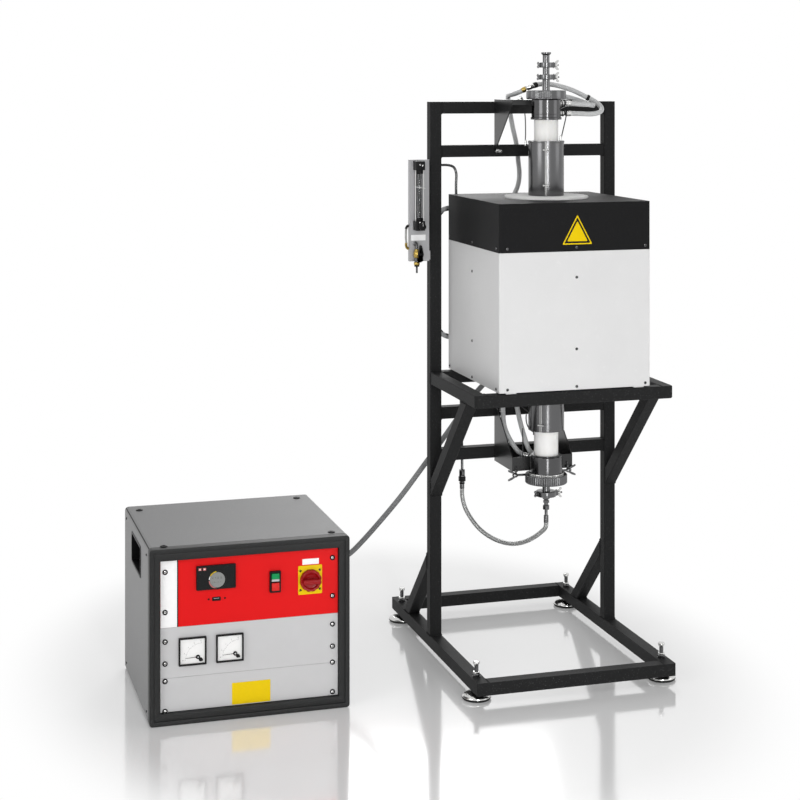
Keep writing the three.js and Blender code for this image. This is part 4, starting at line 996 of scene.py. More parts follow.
class FURNACE_OT_case(bpy.types.Operator):
    """Furnace case, cover, bare sign plate, fibre collar and inner heater"""

    bl_idname = "furnace.case"
    bl_label = "Furnace case"

    def execute(self, context):
        dress("case", "case_shell")
        dress("cover", "top_cover")
        dress("fibre", "insulation_block")
        dress("ceramic", "heater_module")
        dress("cabinet frame", "terminal_box")
        screws = Piece()
        for height, offsets in CASE_ROWS:
            for offset in offsets:
                size = sizes().screw
                for sign in (-1, 1):
                    screw(screws, stand_point(offset, sign * CASE_HALF, height), "y", sign, size)
                    screw(screws, stand_point(sign * CASE_HALF, offset, height), "x", sign, size)
        screws.make("case_screws", ["steel", "black print"], slot="steel")

        # Bare triangular sign plate: apex up, three nested plates
        middle_x, apex, base = .0050, 1.3262, 1.2440
        sign_plate = Piece()
        for shrink, proud, look in ((0.0, .0006, 0), (.0034, .0008, 1), (.0086, .0010, 0)):
            half = (apex - base - 3 * shrink) / math.sqrt(3) * 0.94
            low, top = base + shrink, apex - 2 * shrink
            outline = softened([(middle_x - half, low), (middle_x + half, low), (middle_x, top)], .0045, 6,
                               loop=True)
            sign_plate.slab(outline, -CASE_HALF - proud, -CASE_HALF, .00015, "y", look, origin=STAND)
        sign_plate.make("bare_sign_plate", ["yellow plate", "black print"], slot="cover_paint")

        # Fibre collar round the tube, its rim softened and a little uneven
        collar = Piece()
        inner, outer, low, high = .0372, .1206, 1.3600, 1.3662
        profile = softened([(inner, low), (outer, low), (outer, high), (inner, high)], .0016, 6, True)

        def uneven(rows, angle):
            rim = np.clip((rows[:, :1] - .05) / .07, 0, 1)
            waves = np.sin(angle * 9) + np.sin(angle * 23 + 1) * .7 + np.sin(angle * 41 + 2) * .5
            return rim * 0.0006 * waves

        collar.turned(profile, STAND, segments=160, loop=True, flutes=uneven)
        collar.make("fibre_collar", "fibre", slot="fibre")

        # Heating wire wound in the former's grooves: a helix
        turns, low, high, radius, wire = 22, .890, 1.310, .0492, .0011
        t = np.linspace(0, 1, turns * 28)
        coil = np.stack([radius * np.cos(t * turns * math.tau), radius * np.sin(t * turns * math.tau),
                         low + t * (high - low)], 1) + STAND
        Piece().swept(coil, wire, 6).make("heating_wire", "copper", slot="ceramic")
        return {"FINISHED"}


# Angle round the tube at which the shields' ears point
TOWARD_CAMERA = math.radians(248.7)


def outward(angle):
    """Level directions away from the tube's axis at an angle, and square to that."""
    return np.array([math.cos(angle), math.sin(angle), 0]), np.array([-math.sin(angle), math.cos(angle), 0])


def ring_ear(piece, radius, reach, low, high, angle, gap=.0022, thick=.0013):
    """Pair of upright ears that close a rolled sheet, pointing out at an angle. They take the bright zinc
    look, not the sheet's finish: a painted highlight along the ears.
    """
    out, side = outward(angle)
    for sign in (-1, 1):
        near, far = sign * gap / 2, sign * (gap / 2 + thick)
        foot, tip = radius - .002, radius + reach
        ring = np.array([(foot, near), (tip, near), (tip, far), (foot, far)])
        flat = STAND + ring[:, :1] * out + ring[:, 1:] * side
        # Look 1 is the bright zinc: painted highlight on the ears' edges.
        piece.surface(np.stack([flat + (0, 0, low), flat + (0, 0, high)]), 1)
        piece.cap(flat + (0, 0, low), 1).cap(flat + (0, 0, high), 1)


def cross_bolt(piece, radius, height, angle, half=.0085, size=.0026):
    """Bolt across the ears, with a round head on one side and a nut on the other."""
    out, side = outward(angle)
    centre = STAND + out * radius + (0, 0, height)
    line = centre + side * np.linspace(-half, half, 12)[:, None]
    piece.swept(line, size * .55, 12, 1)
    for start, stop in ((-half, -half + .003), (half - .0034, half)):
        piece.swept(centre + side * np.linspace(start, stop, 2)[:, None], size * 1.15,
                    6 if stop == half else 20, 1)


class FURNACE_OT_tube(bpy.types.Operator):
    """Ceramic work tube and its two rolled heat shields"""

    bl_idname = "furnace.tube"
    bl_label = "Work tube"

    def execute(self, context):
        Piece().ring(.030, .035, .583, 1.622, STAND, segments=96,
                       soft=.0006).make("ceramic_tube", "ceramic", slot="ceramic", replaces=["work_tube"])
        upper, lower = Piece(), Piece()
        upper.turned([(.0500, 1.3665), (.0515, 1.3665), (.0515, 1.5240), (.0370, 1.5240), (.0370, 1.5225),
                      (.0500, 1.5225)], STAND, segments=112, loop=True, soft=.0007)
        upper.ring(.0517, .0526, 1.5190, 1.5247, STAND, segments=112, soft=.0003)
        lower.turned([(.0370, .6880), (.0520, .6880), (.0520, .8402), (.0505, .8402), (.0505, .6895),
                      (.0370, .6895)], STAND, segments=112, loop=True, soft=.0009)
        for piece, low, high, angle, bolts in (
                (upper, 1.368, 1.5235, TOWARD_CAMERA - .01, (1.397, 1.499)),
                (lower, .689, .839, TOWARD_CAMERA - .28, (.709, .812))):
            for turn in (0, math.pi):
                ring_ear(piece, .0515, .0062, low, high, angle + turn)
                for height in bolts:
                    cross_bolt(piece, .0552, height, angle + turn)
        upper.make("upper_shield", ["shield", "zinc"], slot="steel", replaces=["upper_heat_shield"])
        lower.make("lower_shield", ["shield", "zinc"], slot="steel", replaces=["lower_heat_shield"])
        return {"FINISHED"}


# Sealing heads and vacuum fittings


def knurl(count, depth, rows, sectors=0):
    """Radius change of a knurled rim: grooves depth (1 - |sin|) on the given rows of the profile, with
    as many plain sectors between them, where cos(sectors angle) is above 0."""
    def flutes(profile, angle):
        on = np.array([1.0 if rows[0] <= k < rows[1] else 0.0 for k in range(len(profile))])
        cut = np.clip(0.5 - 4 * np.cos(sectors * (angle - .9)), 0, 1) if sectors else 1.0
        return -on[:, None] * cut * depth * (1 - np.abs(np.sin(angle * count / 2)))
    return flutes


def union_ring(name, node, radius, low, lip_below):
    """Knurled union ring: a rim between two chamfers, an inner lip and a bore."""
    high = low + .026
    wide, narrow = radius - .012, radius - .020
    ledge = low + .006 if lip_below else high - .006
    first, second = (narrow, wide) if lip_below else (wide, narrow)
    profile = softened([(first, low), (radius - .0018, low), (radius, low + .0022), (radius, high - .0022),
                        (radius - .0018, high), (second, high), (second, ledge), (first, ledge)], .0005, 4,
                       True)
    rows = (8, 16)
    flutes = knurl(54, .0017, rows) if lip_below else knurl(66, .0013, rows, 3)
    Piece().turned(profile, STAND, segments=660, loop=True, flutes=flutes).make(
        name, "steel", body=BODY_OF[node], slot="steel", replaces=[node])


def hose_port(piece, centre, direction, start, stop):
    """Threaded port: hexagon base, lock nut, collar and stub, stacked along a level direction."""
    across = np.array([-direction[1], direction[0], 0])
    up = np.array([0, 0, 1.0])

    def stacked(radius, near, far, count, look):
        angle = np.arange(count) * math.tau / count + .26
        edge = min(.0008, (far - near) / 3)
        circle = np.cos(angle)[:, None] * across + np.sin(angle)[:, None] * up
        rings = [centre + direction * s + r * circle for s, r in (
            (near, radius - edge), (near + edge, radius), (far - edge, radius), (far, radius - edge))]
        piece.surface(np.stack(rings), look).cap(rings[0], look).cap(rings[-1], look)

    for radius, near, far, count, look in (
            (.0055, -.004, stop - start, 24, 0), (.0094, .0002, .0062, 6, 1), (.0074, .0064, .0082, 28, 0),
            (.0088, .0084, .0138, 6, 1), (.0066, .0140, .0158, 28, 0)):
        stacked(radius, start + near, start + far, count, look)


def clamp(name, node, joint, flange_radius, outer, reach):
    """Hinged flange clamp: grooved band in two halves, hinge links, ears and the swing bolt."""
    z = STAND + (0, 0, joint)
    half = .0075
    band = [(.0118, -half), (outer, -half), (outer, half), (.0118, half), (flange_radius + .0006, .0036),
            (flange_radius + .0006, -.0036)]
    made = Piece().turned(band, z, segments=72, loop=True, soft=.0010)
    for top in (-1, 1):
        link = box_outline(-outer - .0078, -outer + .0030, -.0052, .0052, .0045)
        made.slab(link, top * .0052 - .0018, top * .0052 + .0018, .0006, origin=z)
    made.block(z + (-outer - .0040, -.0045, -.0028), z + (-outer + .0030, .0045, .0028), .0006)
    for x, size in ((-outer - .0046, .0021), (outer + .0030, .0021)):
        made.pin(size, -half - .0016, half + .0016, z + (x, 0, 0), segments=20, soft=.0004)
    for side in (-1, 1):
        ear = box_outline(outer - .0030, outer + .0062, side * .0052 - .0022, side * .0052 + .0022, .0012)
        made.slab(ear, -half + .0006, half - .0006, .0006, origin=z)
    rod = softened(thread(outer - .001, reach, .0026, .0009, .0004), .0001, 2)
    made.turned(np.vstack([[(0, outer - .001)], rod, [(0, reach + .0004)]]), z, "x", 20)
    made.ring(.0028, .0062, outer + .0044, outer + .0054, z, "x", 32)
    made.make(name, "steel", slot="steel", replaces=[node])


def wing_nut(name, node, joint, start):
    """Wing nut on a bolt along X: a conical hub with a bore and two wings of swept outline."""
    z = STAND + (0, 0, joint)
    hub = [(.0029, start), (.0060, start), (.0054, start + .0060), (.0042, start + .0092),
           (.0029, start + .0092)]
    nut = Piece().turned(hub, z, "x", 40, loop=True, soft=.0006)
    wing = np.array([(start + .0012, .0040), (start + .0024, .0075), (start + .0062, .0116),
                     (start + .0096, .0142), (start + .0126, .0140), (start + .0136, .0116),
                     (start + .0114, .0088), (start + .0086, .0064), (start + .0076, .0040)])
    for side in (1, -1):
        outline = softened(wing * (1, side), .0030, 4, loop=True)
        nut.slab(outline if side > 0 else outline[::-1], -.0011, .0011, .0007, "y", origin=z)
    nut.make(name, "zinc", body=BODY_OF[node], slot="steel", replaces=[node])


# Flanged necks: outside profiles from the sealing face on, closed by a bore of 16 mm
NECKS = (
    ("upper_neck", "upper_end_flange", [
        (.043, 1.6563), (.043, 1.6628), (.0118, 1.6628), (.0110, 1.6650), (.0110, 1.7012), (.0149, 1.7055),
        (.0149, 1.7088)]),
    ("upper_link", "upper_nipple", [
        (.0149, 1.7092), (.0149, 1.7125), (.0100, 1.7165), (.0100, 1.7362), (.0149, 1.7405),
        (.0149, 1.7435)]),
    ("vent_flange", "vent_port", [
        (.0149, 1.7439), (.0149, 1.7470), (.0100, 1.7512), (.0100, 1.7722), (.0144, 1.7762), (.0144, 1.7809),
        (.0122, 1.7809), (.0118, 1.7796)]),
    ("lower_neck", "lower_end_flange", [
        (.047, .5487), (.047, .5422), (.0118, .5422), (.0110, .5400), (.0110, .5102), (.0199, .5060),
        (.0199, .5028)]),
)
# Clamps: name, height of the joint, radius of the flanges and of the band, end of the bolt, start of its nut
CLAMPS = (("neck", 1.709, .015, .021, .040, .0264), ("cap", 1.7437, .015, .020, .038, .0254),
          ("lower", .5026, .020, .029, .049, .0344))


class FURNACE_OT_heads(bpy.types.Operator):
    """Sealing heads, union rings, flanges, clamps and hose ports"""

    bl_idname = "furnace.heads"
    bl_label = "Sealing heads"

    def execute(self, context):
        upper = Piece().turned(
            [(.0355, 1.586), (.0450, 1.586), (.0450, 1.592), (.0424, 1.593), (.0424, 1.6435), (.0410, 1.6440),
             (.0410, 1.656), (.0200, 1.656), (.0200, 1.625), (.0355, 1.625)], STAND, segments=128, loop=True,
            soft=.0007)
        upper.turned([(.0425, 1.6005), (.0429, 1.6010), (.0429, 1.6020), (.0425, 1.6025)], STAND,
                     segments=128)
        for height in (1.603, 1.632):
            hose_port(upper, STAND + (0, .008, height), np.array([1.0, 0, 0]), .0430, .0620)
        upper.make("upper_head", ["dark steel", "zinc"], slot="steel", replaces=["upper_head_body"])

        lower = Piece().turned(
            [(.0200, .549), (.0450, .549), (.0450, .561), (.0470, .562), (.0470, .6120), (.0440, .6150),
             (.0355, .6150), (.0355, .580), (.0200, .580)], STAND, segments=128, loop=True, soft=.0009)
        lower.ring(.0360, .0425, .6151, .6166, STAND, segments=96, soft=.0004)
        # Knurled ring of bright zinc just above the union ring: it stands for the glints on that ring's
        # knurled rim, a painted highlight.
        lower.ring(.0466, .0508, .5610, .5642, STAND, segments=480, flutes=knurl(48, .0016, (1, 3)), look=1)
        for x, y in ((-.014, .056), (-.034, .046)):
            reach = math.hypot(x, y)
            hose_port(lower, STAND + (0, 0, .603), np.array([x, y, 0]) / reach, .0405, reach)
        lower.make("lower_head", ["dark steel", "zinc"], slot="steel", replaces=["lower_head_body"])

        union_ring("upper_ring", "upper_union_ring", .0575, 1.6446, False)
        union_ring("lower_ring", "lower_union_ring", .0610, .5344, True)
        for name, node, profile in NECKS:
            Piece().turned([(.008, profile[0][1]), *profile, (.008, profile[-1][1])], STAND, segments=72,
                           loop=True, soft=.0006).make(name, "steel", slot="steel", replaces=[node])
        for side, joint, flange, outer, reach, start in CLAMPS:
            clamp(f"{side}_flange_clamp", f"{side}_clamp", joint, flange, outer, reach)
            wing_nut(f"{side}_wing_nut", f"{side}_clamp_wing_nut", joint, start)

        adapter = Piece().turned(
            [(0, .5024), (.0199, .5024), (.0199, .4992), (.0102, .4952), (.0102, .4872), (.0060, .4850),
             (.0060, .4832), (.0080, .4830), (.0080, .4752), (.0060, .4750), (.0060, .4692), (.0052, .4690),
             (.0045, .4560), (.0045, .4412), (.0070, .4380), (.0070, .4362), (.0066, .4352), (.0070, .4340),
             (.0070, .4300), (.0066, .4290), (.0070, .4278), (.0070, .4182), (0, .4182)], STAND, soft=.0005,
            segments=48)
        adapter.slab(hexagon(.018, .1), .4562, .4690, .0012, origin=STAND)
        adapter.slab(hexagon(.016, .5), .4752, .4830, .0012, origin=STAND)
        adapter.make("hose_adapter", "steel", slot="steel", replaces=["gas_adapter"])
        return {"FINISHED"}


# Bolts that hold the brackets to the posts: place across and height
BRACKET_BOLTS = ((-.087, 1.490), (-.078, 1.488), (.082, 1.622), (-.075, .583), (.072, .583), (-.075, .716))
# Thin wires, in millimetres from the tube's axis at floor level, and the lugs at two of their ends
THIN_WIRES = (
    [(-56, 26, 1604), (-56, 21.5, 1585), (-55.8, 20, 1545), (-56, 19.5, 1520), (-51, 12, 1508)],
    [(64, -1, 1611), (60, -6, 1596), (48, -17, 1564), (36, -25, 1531), (33, -26, 1525.5)],
    [(-71, 110, 790), (-66, 80, 762), (-58, 40, 748), (-53.5, 6, 740)],
    [(-56, 14, 731), (-58, 10, 727), (-60, 4, 717), (-58, -2, 702), (-50, -4, 690), (-40, -2, 682),
     (-37.5, 4, 674)],
    [(-63, 26, 690), (-63.5, 24, 660), (-63, 24, 630), (-62, 26, 598), (-58, 24, 584)])
WIRE_LUGS = ((-56, 20, 1518), (35, -25.2, 1531))


class FURNACE_OT_brackets(bpy.types.Operator):
    """Folded brackets, their bolts and the thin wires"""

    bl_idname = "furnace.brackets"
    bl_label = "Brackets"

    def execute(self, context):
        dress("bracket", "upper_bracket", "lower_bracket")
        bolts = Piece()
        for x, height in BRACKET_BOLTS:
            place = stand_point(x, POST_FRONT - .0036, height)
            bolts.pin(.0062, -.0012, 0, place, "y", 32, soft=.0003)
            bolts.slab(hexagon(.0092, .3), -.0064, -.0012, .0014, "y", origin=place)
            bolts.pin(.0026, -.0100, -.0060, place, "y", 20, soft=.0004)
        for height in (1.643, .569):
            for x in (-.060, .058):
                place = stand_point(x, .052, height)
                bolts.slab(hexagon(.0130, .4), .0006, .0068, .0010, origin=place)
                bolts.pin(.0095, .0002, .0014, place, segments=32, soft=.0003)
                bolts.pin(.0032, .0060, .0110, place, segments=20, soft=.0005)
        bolts.make("bracket_bolts", "zinc", slot="steel")
        wires = Piece()
        for points in THIN_WIRES:
            wires.swept(smooth_route(stand_route(points), .002), .0016, 10)
        for x, y, height in WIRE_LUGS:
            place = stand_point(x / 1000, y / 1000, height / 1000)
            wires.turned([(0, -.009), (.0024, -.009), (.0032, -.005), (.0032, .005), (.0024, .009),
                          (0, .009)], place, segments=20, look=1, soft=.0006)
        wires.make("thin_wires", ["wire", "zinc"], slot="cable")

        # Wing screws that hold the lower ring's stays to the bracket, one on each side
        stays = Piece()
        for side, height, near, hub, far in ((-1, .556, .050, -.088, .096), (1, .5605, .047, .078, .086)):
            centre = stand_point(0, .020, height)
            stays.pin(.0034, *sorted((side * near, side * far)), centre, "x", 20, soft=.0004)
            stays.turned([(0, hub - .006), (.0058, hub - .006), (.0072, hub), (.0058, hub + .006),
                          (0, hub + .006)], centre, "x", 28, soft=.0008)
            tip = hub + side * .022
            for lift in (-1, 1):
                wing = softened([(hub, 0), (hub + side * .006, lift * .004), (tip, lift * .011),
                                 (tip, lift * .017), (hub + side * .010, lift * .013),
                                 (hub - side * .002, lift * .006)], .003, 4, True)
                stays.slab(wing if side * lift > 0 else wing[::-1], -.0012, .0012, .0006, "y", origin=centre)
            stud = centre + (hub + side * -.004, .004, .006)
            stays.turned(np.vstack([[(0, 0)], thread(0, .018, .0028, .0012, .0003), [(0, .018)]]), stud,
                         segments=24)
            stays.slab(hexagon(.0100, .3), .003, .008, .0008, origin=stud)
        stays.make("stay_wing_screws", "steel", slot="steel")
        return {"FINISHED"}


# Gas line and flow meter

# Routes in millimetres, from the tube's axis at floor level
GAS_TUBE = [
    (-334, 179.3, 1446), (-334, 200, 1446), (-331, 222, 1446), (-314, 235, 1446), (-270, 235, 1446),
    (-222, 235, 1446), (-205, 235, 1440), (-197, 235, 1424), (-197, 235, 1380), (-192, 235, 1150),
    (-183, 235, 800), (-178, 235, 580), (-178, 235, 482)]
CONDUIT = [
    (45, 272, 925), (-40, 272, 925), (-175, 272, 923), (-222, 272, 932), (-248, 272, 960), (-252, 272, 1010),
    (-252, 272, 1120), (-252, 272, 1230), (-247, 272, 1285), (-222, 272, 1312), (-182, 268, 1316),
    (-148, 262, 1316), (-134, 246, 1316), (-134, 225.3, 1316)]


class FURNACE_OT_gas_line(bpy.types.Operator):
    """Rigid gas tube with its union, and the ribbed conduit behind the case"""

    bl_idname = "furnace.gas_line"
    bl_label = "Gas line"

    def execute(self, context):
        line = Piece().swept(smooth_route(stand_route(GAS_TUBE), .004), .0040, 20)
        centre = stand_point(-.178, .235, 0)
        for radius, low, high, look in ((.0060, .484, .5335, 0), (.0070, .476, .4900, 0),
                                        (.0083, .4905, .4940, 1)):
            line.pin(radius, low, high, centre, soft=.0007, segments=40, look=look)
        line.slab(hexagon(.017, .2), .5162, .5330, .0013, origin=centre)
        line.slab(hexagon(.019, .6), .4972, .5118, .0013, origin=centre, look=1)
        line.turned([(.0062, .5120), (.0092, .5125), (.0092, .5155), (.0062, .5160)], centre, segments=40)
        line.make("gas_line", ["steel", "black plastic"], slot="steel", replaces=["gas_tube"])

        path = smooth_route(stand_route(CONDUIT), .0011)
        ribbed = .0078 - .0005 * (0.5 - 0.5 * np.cos(walked(path) * math.tau / .0048))
        Piece().swept(path, ribbed, 14).make("ribbed_conduit", "conduit", slot="dark_metal")

        trim = Piece()
        for x in (.052, .198):
            for z in (.857, 1.048):
                screw(trim, stand_point(x, .285, z), "y", 1, .0036, 0, 1)
        gland = stand_point(0, .255, .865)
        trim.slab(hexagon(.033, .1), .0335, .0400, .0012, "x", 1, origin=gland)
        trim.turned([(.0090, .0197), (.0118, .0197), (.0130, .0220), (.0134, .0300), (.0134, .0334),
                     (.0090, .0336)], gland, "x", 96, 1, soft=.0008, flutes=knurl(24, .0005, (6, 12)))
        trim.make("terminal_box_trim", ["zinc", "black print"], slot="steel")
        return {"FINISHED"}


class FURNACE_OT_flow_meter(bpy.types.Operator):
    """Flow meter, needle valve, shut-off valve and their folded panel"""

    bl_idname = "furnace.flow_meter"
    bl_label = "Flow meter"

    def execute(self, context):
        dress("panel sheet", "flow_panel")
        x, y = METER[:2]
        centre = np.array([x, y, 0])
        body = Piece()
        for low, high in ((1.436, 1.463), (1.259, 1.287)):
            outline = box_outline(-.0145, .0135, -.015, .016, .0022)
            body.slab(outline, low, high, .0014, origin=centre)
        for low, high in ((1.4255, 1.4362), (1.2868, 1.2960)):
            body.turned([(.0074, low), (.0100, low), (.0106, low + .002), (.0106, high - .002), (.0100, high),
                         (.0074, high)], centre, segments=40, loop=True, soft=.0004)
        body.block(centre + (-.0075, .0085, 1.280), centre + (-.0015, .0158, 1.440), .0008)
        body.block(centre + (.0046, .0085, 1.280), centre + (.0082, .0158, 1.440), .0008)
        for side in (-1, 1):
            body.pin(.0011, 1.2865, 1.4365, centre + (side * .0122 - .0005, -.0040, 0), segments=20, look=1)
        tie = smooth_route(centre + np.array([
            (-.0155, -.004, 1.3875), (-.0090, -.0085, 1.3868), (0, -.0098, 1.3852), (.0100, -.0085, 1.3835),
            (.0170, -.0010, 1.3822), (.0200, .0120, 1.3820)]), .001)
        body.swept(tie, .0009, 10, 1)
        for z in (1.4495, 1.2800):
            for shift in (-.0020, .0060):
                screw(body, centre + (shift, -.015, z + .002 - .3 * shift), "y", -1, .0027, 2, 3)
        loop = smooth_route(stand_route([
            (-359.3, 187, 1272), (-363, 187, 1271), (-368, 184, 1265), (-371, 178, 1252), (-372, 175, 1238),
            (-370, 178, 1224), (-368, 184, 1212), (-364, 187, 1206), (-359.3, 187, 1203)]), .002)
        body.swept(loop, .0030, 18, 5)
        total = route_length(loop)
        sleeve(body, loop, .0005, .016, .0038, 0)
        sleeve(body, loop, total - .026, total - .0005, .0040, 4, 3)
        body.make("flow_meter", ["black plastic", "white plastic", "zinc", "black print", "brass",
                                 "clear tube"], slot="black_plastic", replaces=["flow_meter_body"])

        glass = Piece().ring(.0050, .0069, 1.2793, 1.4437, centre, segments=48, soft=.0004)
        glass.make("meter_glass", "glass", slot="glass", replaces=["flow_meter_tube"])
        # Scale marks 4 mm apart, every fifth long
        marks = Piece()
        for step in range(31):
            height = 1.303 + step * .0040
            width = .0034 if step % 5 == 0 else .0019
            arc = np.linspace(-math.pi / 2 - width / .007 + .45, -math.pi / 2 + width / .007 + .45, 7)
            ring = np.stack([.00702 * np.cos(arc), .00702 * np.sin(arc)], 1)
            low = np.column_stack([ring, np.full(7, height)]) + centre
            marks.surface(np.stack([low, low + (0, 0, .0005)]), around=False)
        marks.make("meter_scale", "black print", slot="black_plastic")
        Piece().turned([(0, 1.2900), (.0008, 1.2902), (.0020, 1.2925), (.0043, 1.2968), (.0043, 1.3002),
                        (.0030, 1.3018), (0, 1.3018)], centre, segments=32, soft=.0003).make(
            "meter_float", "meter steel", body=BODY_OF["flow_meter_float"], slot="steel",
            replaces=["flow_meter_float"])

        knob_centre = np.array([x, y, 1.272])
        face = -.0153
        profile = softened([(0, face - .0216), (.0088, face - .0216), (.0098, face - .0206),
                            (.0098, face - .0066), (.0072, face - .0062), (.0070, face - .0002),
                            (0, face - .0002)], .0005, 4)
        knob = Piece().turned(profile, knob_centre, "y", 160, flutes=knurl(28, .0006, (8, 13)))
        knob.block(knob_centre + (-.0006, face - .0222, .0020),
                   knob_centre + (.0006, face - .0214, .0085), .0002, 1)
        knob.make("valve_knob", ["black plastic", "white plastic"], body=BODY_OF["needle_valve_knob"],
                  slot="black_plastic", replaces=["needle_valve_knob"])

        valve, port = Piece(), stand_point(-.342, .163, 0)
        valve.swept(smooth_route(port + np.array([
            (0, 0, 1.190), (0, 0, 1.205), (0, .0005, 1.212), (0, .0040, 1.2175), (0, .0090, 1.219),
            (0, .0162, 1.219)]), .001), .0040, 24, 1)
        valve.slab(hexagon(.0130, .2), .0112, .0160, .0009, "y", 1, origin=port + (0, 0, 1.219))
        ball = [(0, 1.1788), (.0068, 1.1790), (.0082, 1.1812), (.0094, 1.1850), (.0098, 1.1900),
                (.0092, 1.1950), (.0076, 1.1985), (.0062, 1.2000), (.0062, 1.2035), (.0050, 1.2045),
                (0, 1.2045)]
        valve.turned(ball, port, segments=64, soft=.0006)
        valve.turned([(0, 1.1664), (.0074, 1.1672), (.0078, 1.1690), (.0078, 1.1760), (.0066, 1.1786),
                      (0, 1.1786)], port, segments=64, soft=.0006, look=1)
        valve.turned([(0, -.0090), (.0080, -.0090), (.0086, -.0070), (.0086, 0), (0, 0)],
                     port + (.005, 0, 1.190), "y", 40, soft=.0006)
        valve.slab(hexagon(.0168, .3), 1.1578, 1.1662, .0014, origin=port)
        valve.turned([(0, 1.1532), (.0068, 1.1532), (.0074, 1.1542), (.0074, 1.1576), (0, 1.1576)], port,
                     segments=40, soft=.0005, look=2)
        valve.turned(np.vstack([[(0, 1.1340)], thread(1.1345, 1.1532, .0030, .0012, .0003), [(0, 1.1532)]]),
                     port, segments=28, look=1)
        valve.pin(.0034, -.0168, -.0080, port + (.005, 0, 1.191), "y", 28)
        valve.make("shut_off_valve", ["brass", "steel", "black screw"], slot="brass",
                   replaces=["gas_valve_body"])

        lever, spot = Piece(), stand_point(-.337, .1457, 1.191)
        outline = softened([(-.0024, -.0240), (.0034, -.0225), (.0098, -.0030), (.0092, .0030),
                            (.0042, .0265), (-.0022, .0272), (-.0060, .0100), (-.0066, -.0040)], .0030, 5,
                           loop=True)
        lever.slab(outline, -.0058, -.0001, .0016, "y", origin=spot)
        lever.slab(inset(outline, .0026), -.0064, -.0050, .0006, "y", origin=spot)
        lever.turned([(0, -.0060), (.0040, -.0060), (.0036, -.0074), (0, -.0076)], spot, "y", 28, look=1)
        lever.make("valve_lever", ["black plastic", "black screw"], body=BODY_OF["gas_valve_lever"],
                   slot="black_plastic", replaces=["gas_valve_lever"])

        panel_face = y + .0165
        label = Piece().block((AXIS[0] - .3545, panel_face - .0006, 1.228),
                              (AXIS[0] - .310, panel_face, 1.245), .0002, corner_radius=.001, axis="y")
        label.make("bare_label", "white plate", slot="panel_grey")
        return {"FINISHED"}


# Control cabinet, measured from its lower left front corner

WIDTH, DEPTH, HEIGHT = 0.543, 0.490, 0.465
# Radius and inset of the dark rods inside the body's long edges, painted shade for the seams
SEAM_SHADE_RADIUS, SEAM_SHADE_INSET = .0044, .00618
# Panel screws: heights at the left and at the right edge
SCREWS = {0.0428: (.4015, .2956, .2178, .1598, .1137, .0346),
          0.4980: (.4050, .3020, .2250, .1650, .1217, .0417)}
# Handle cups: front, back, low and high edge
HANDLE = (.166, .337, .352, .429)


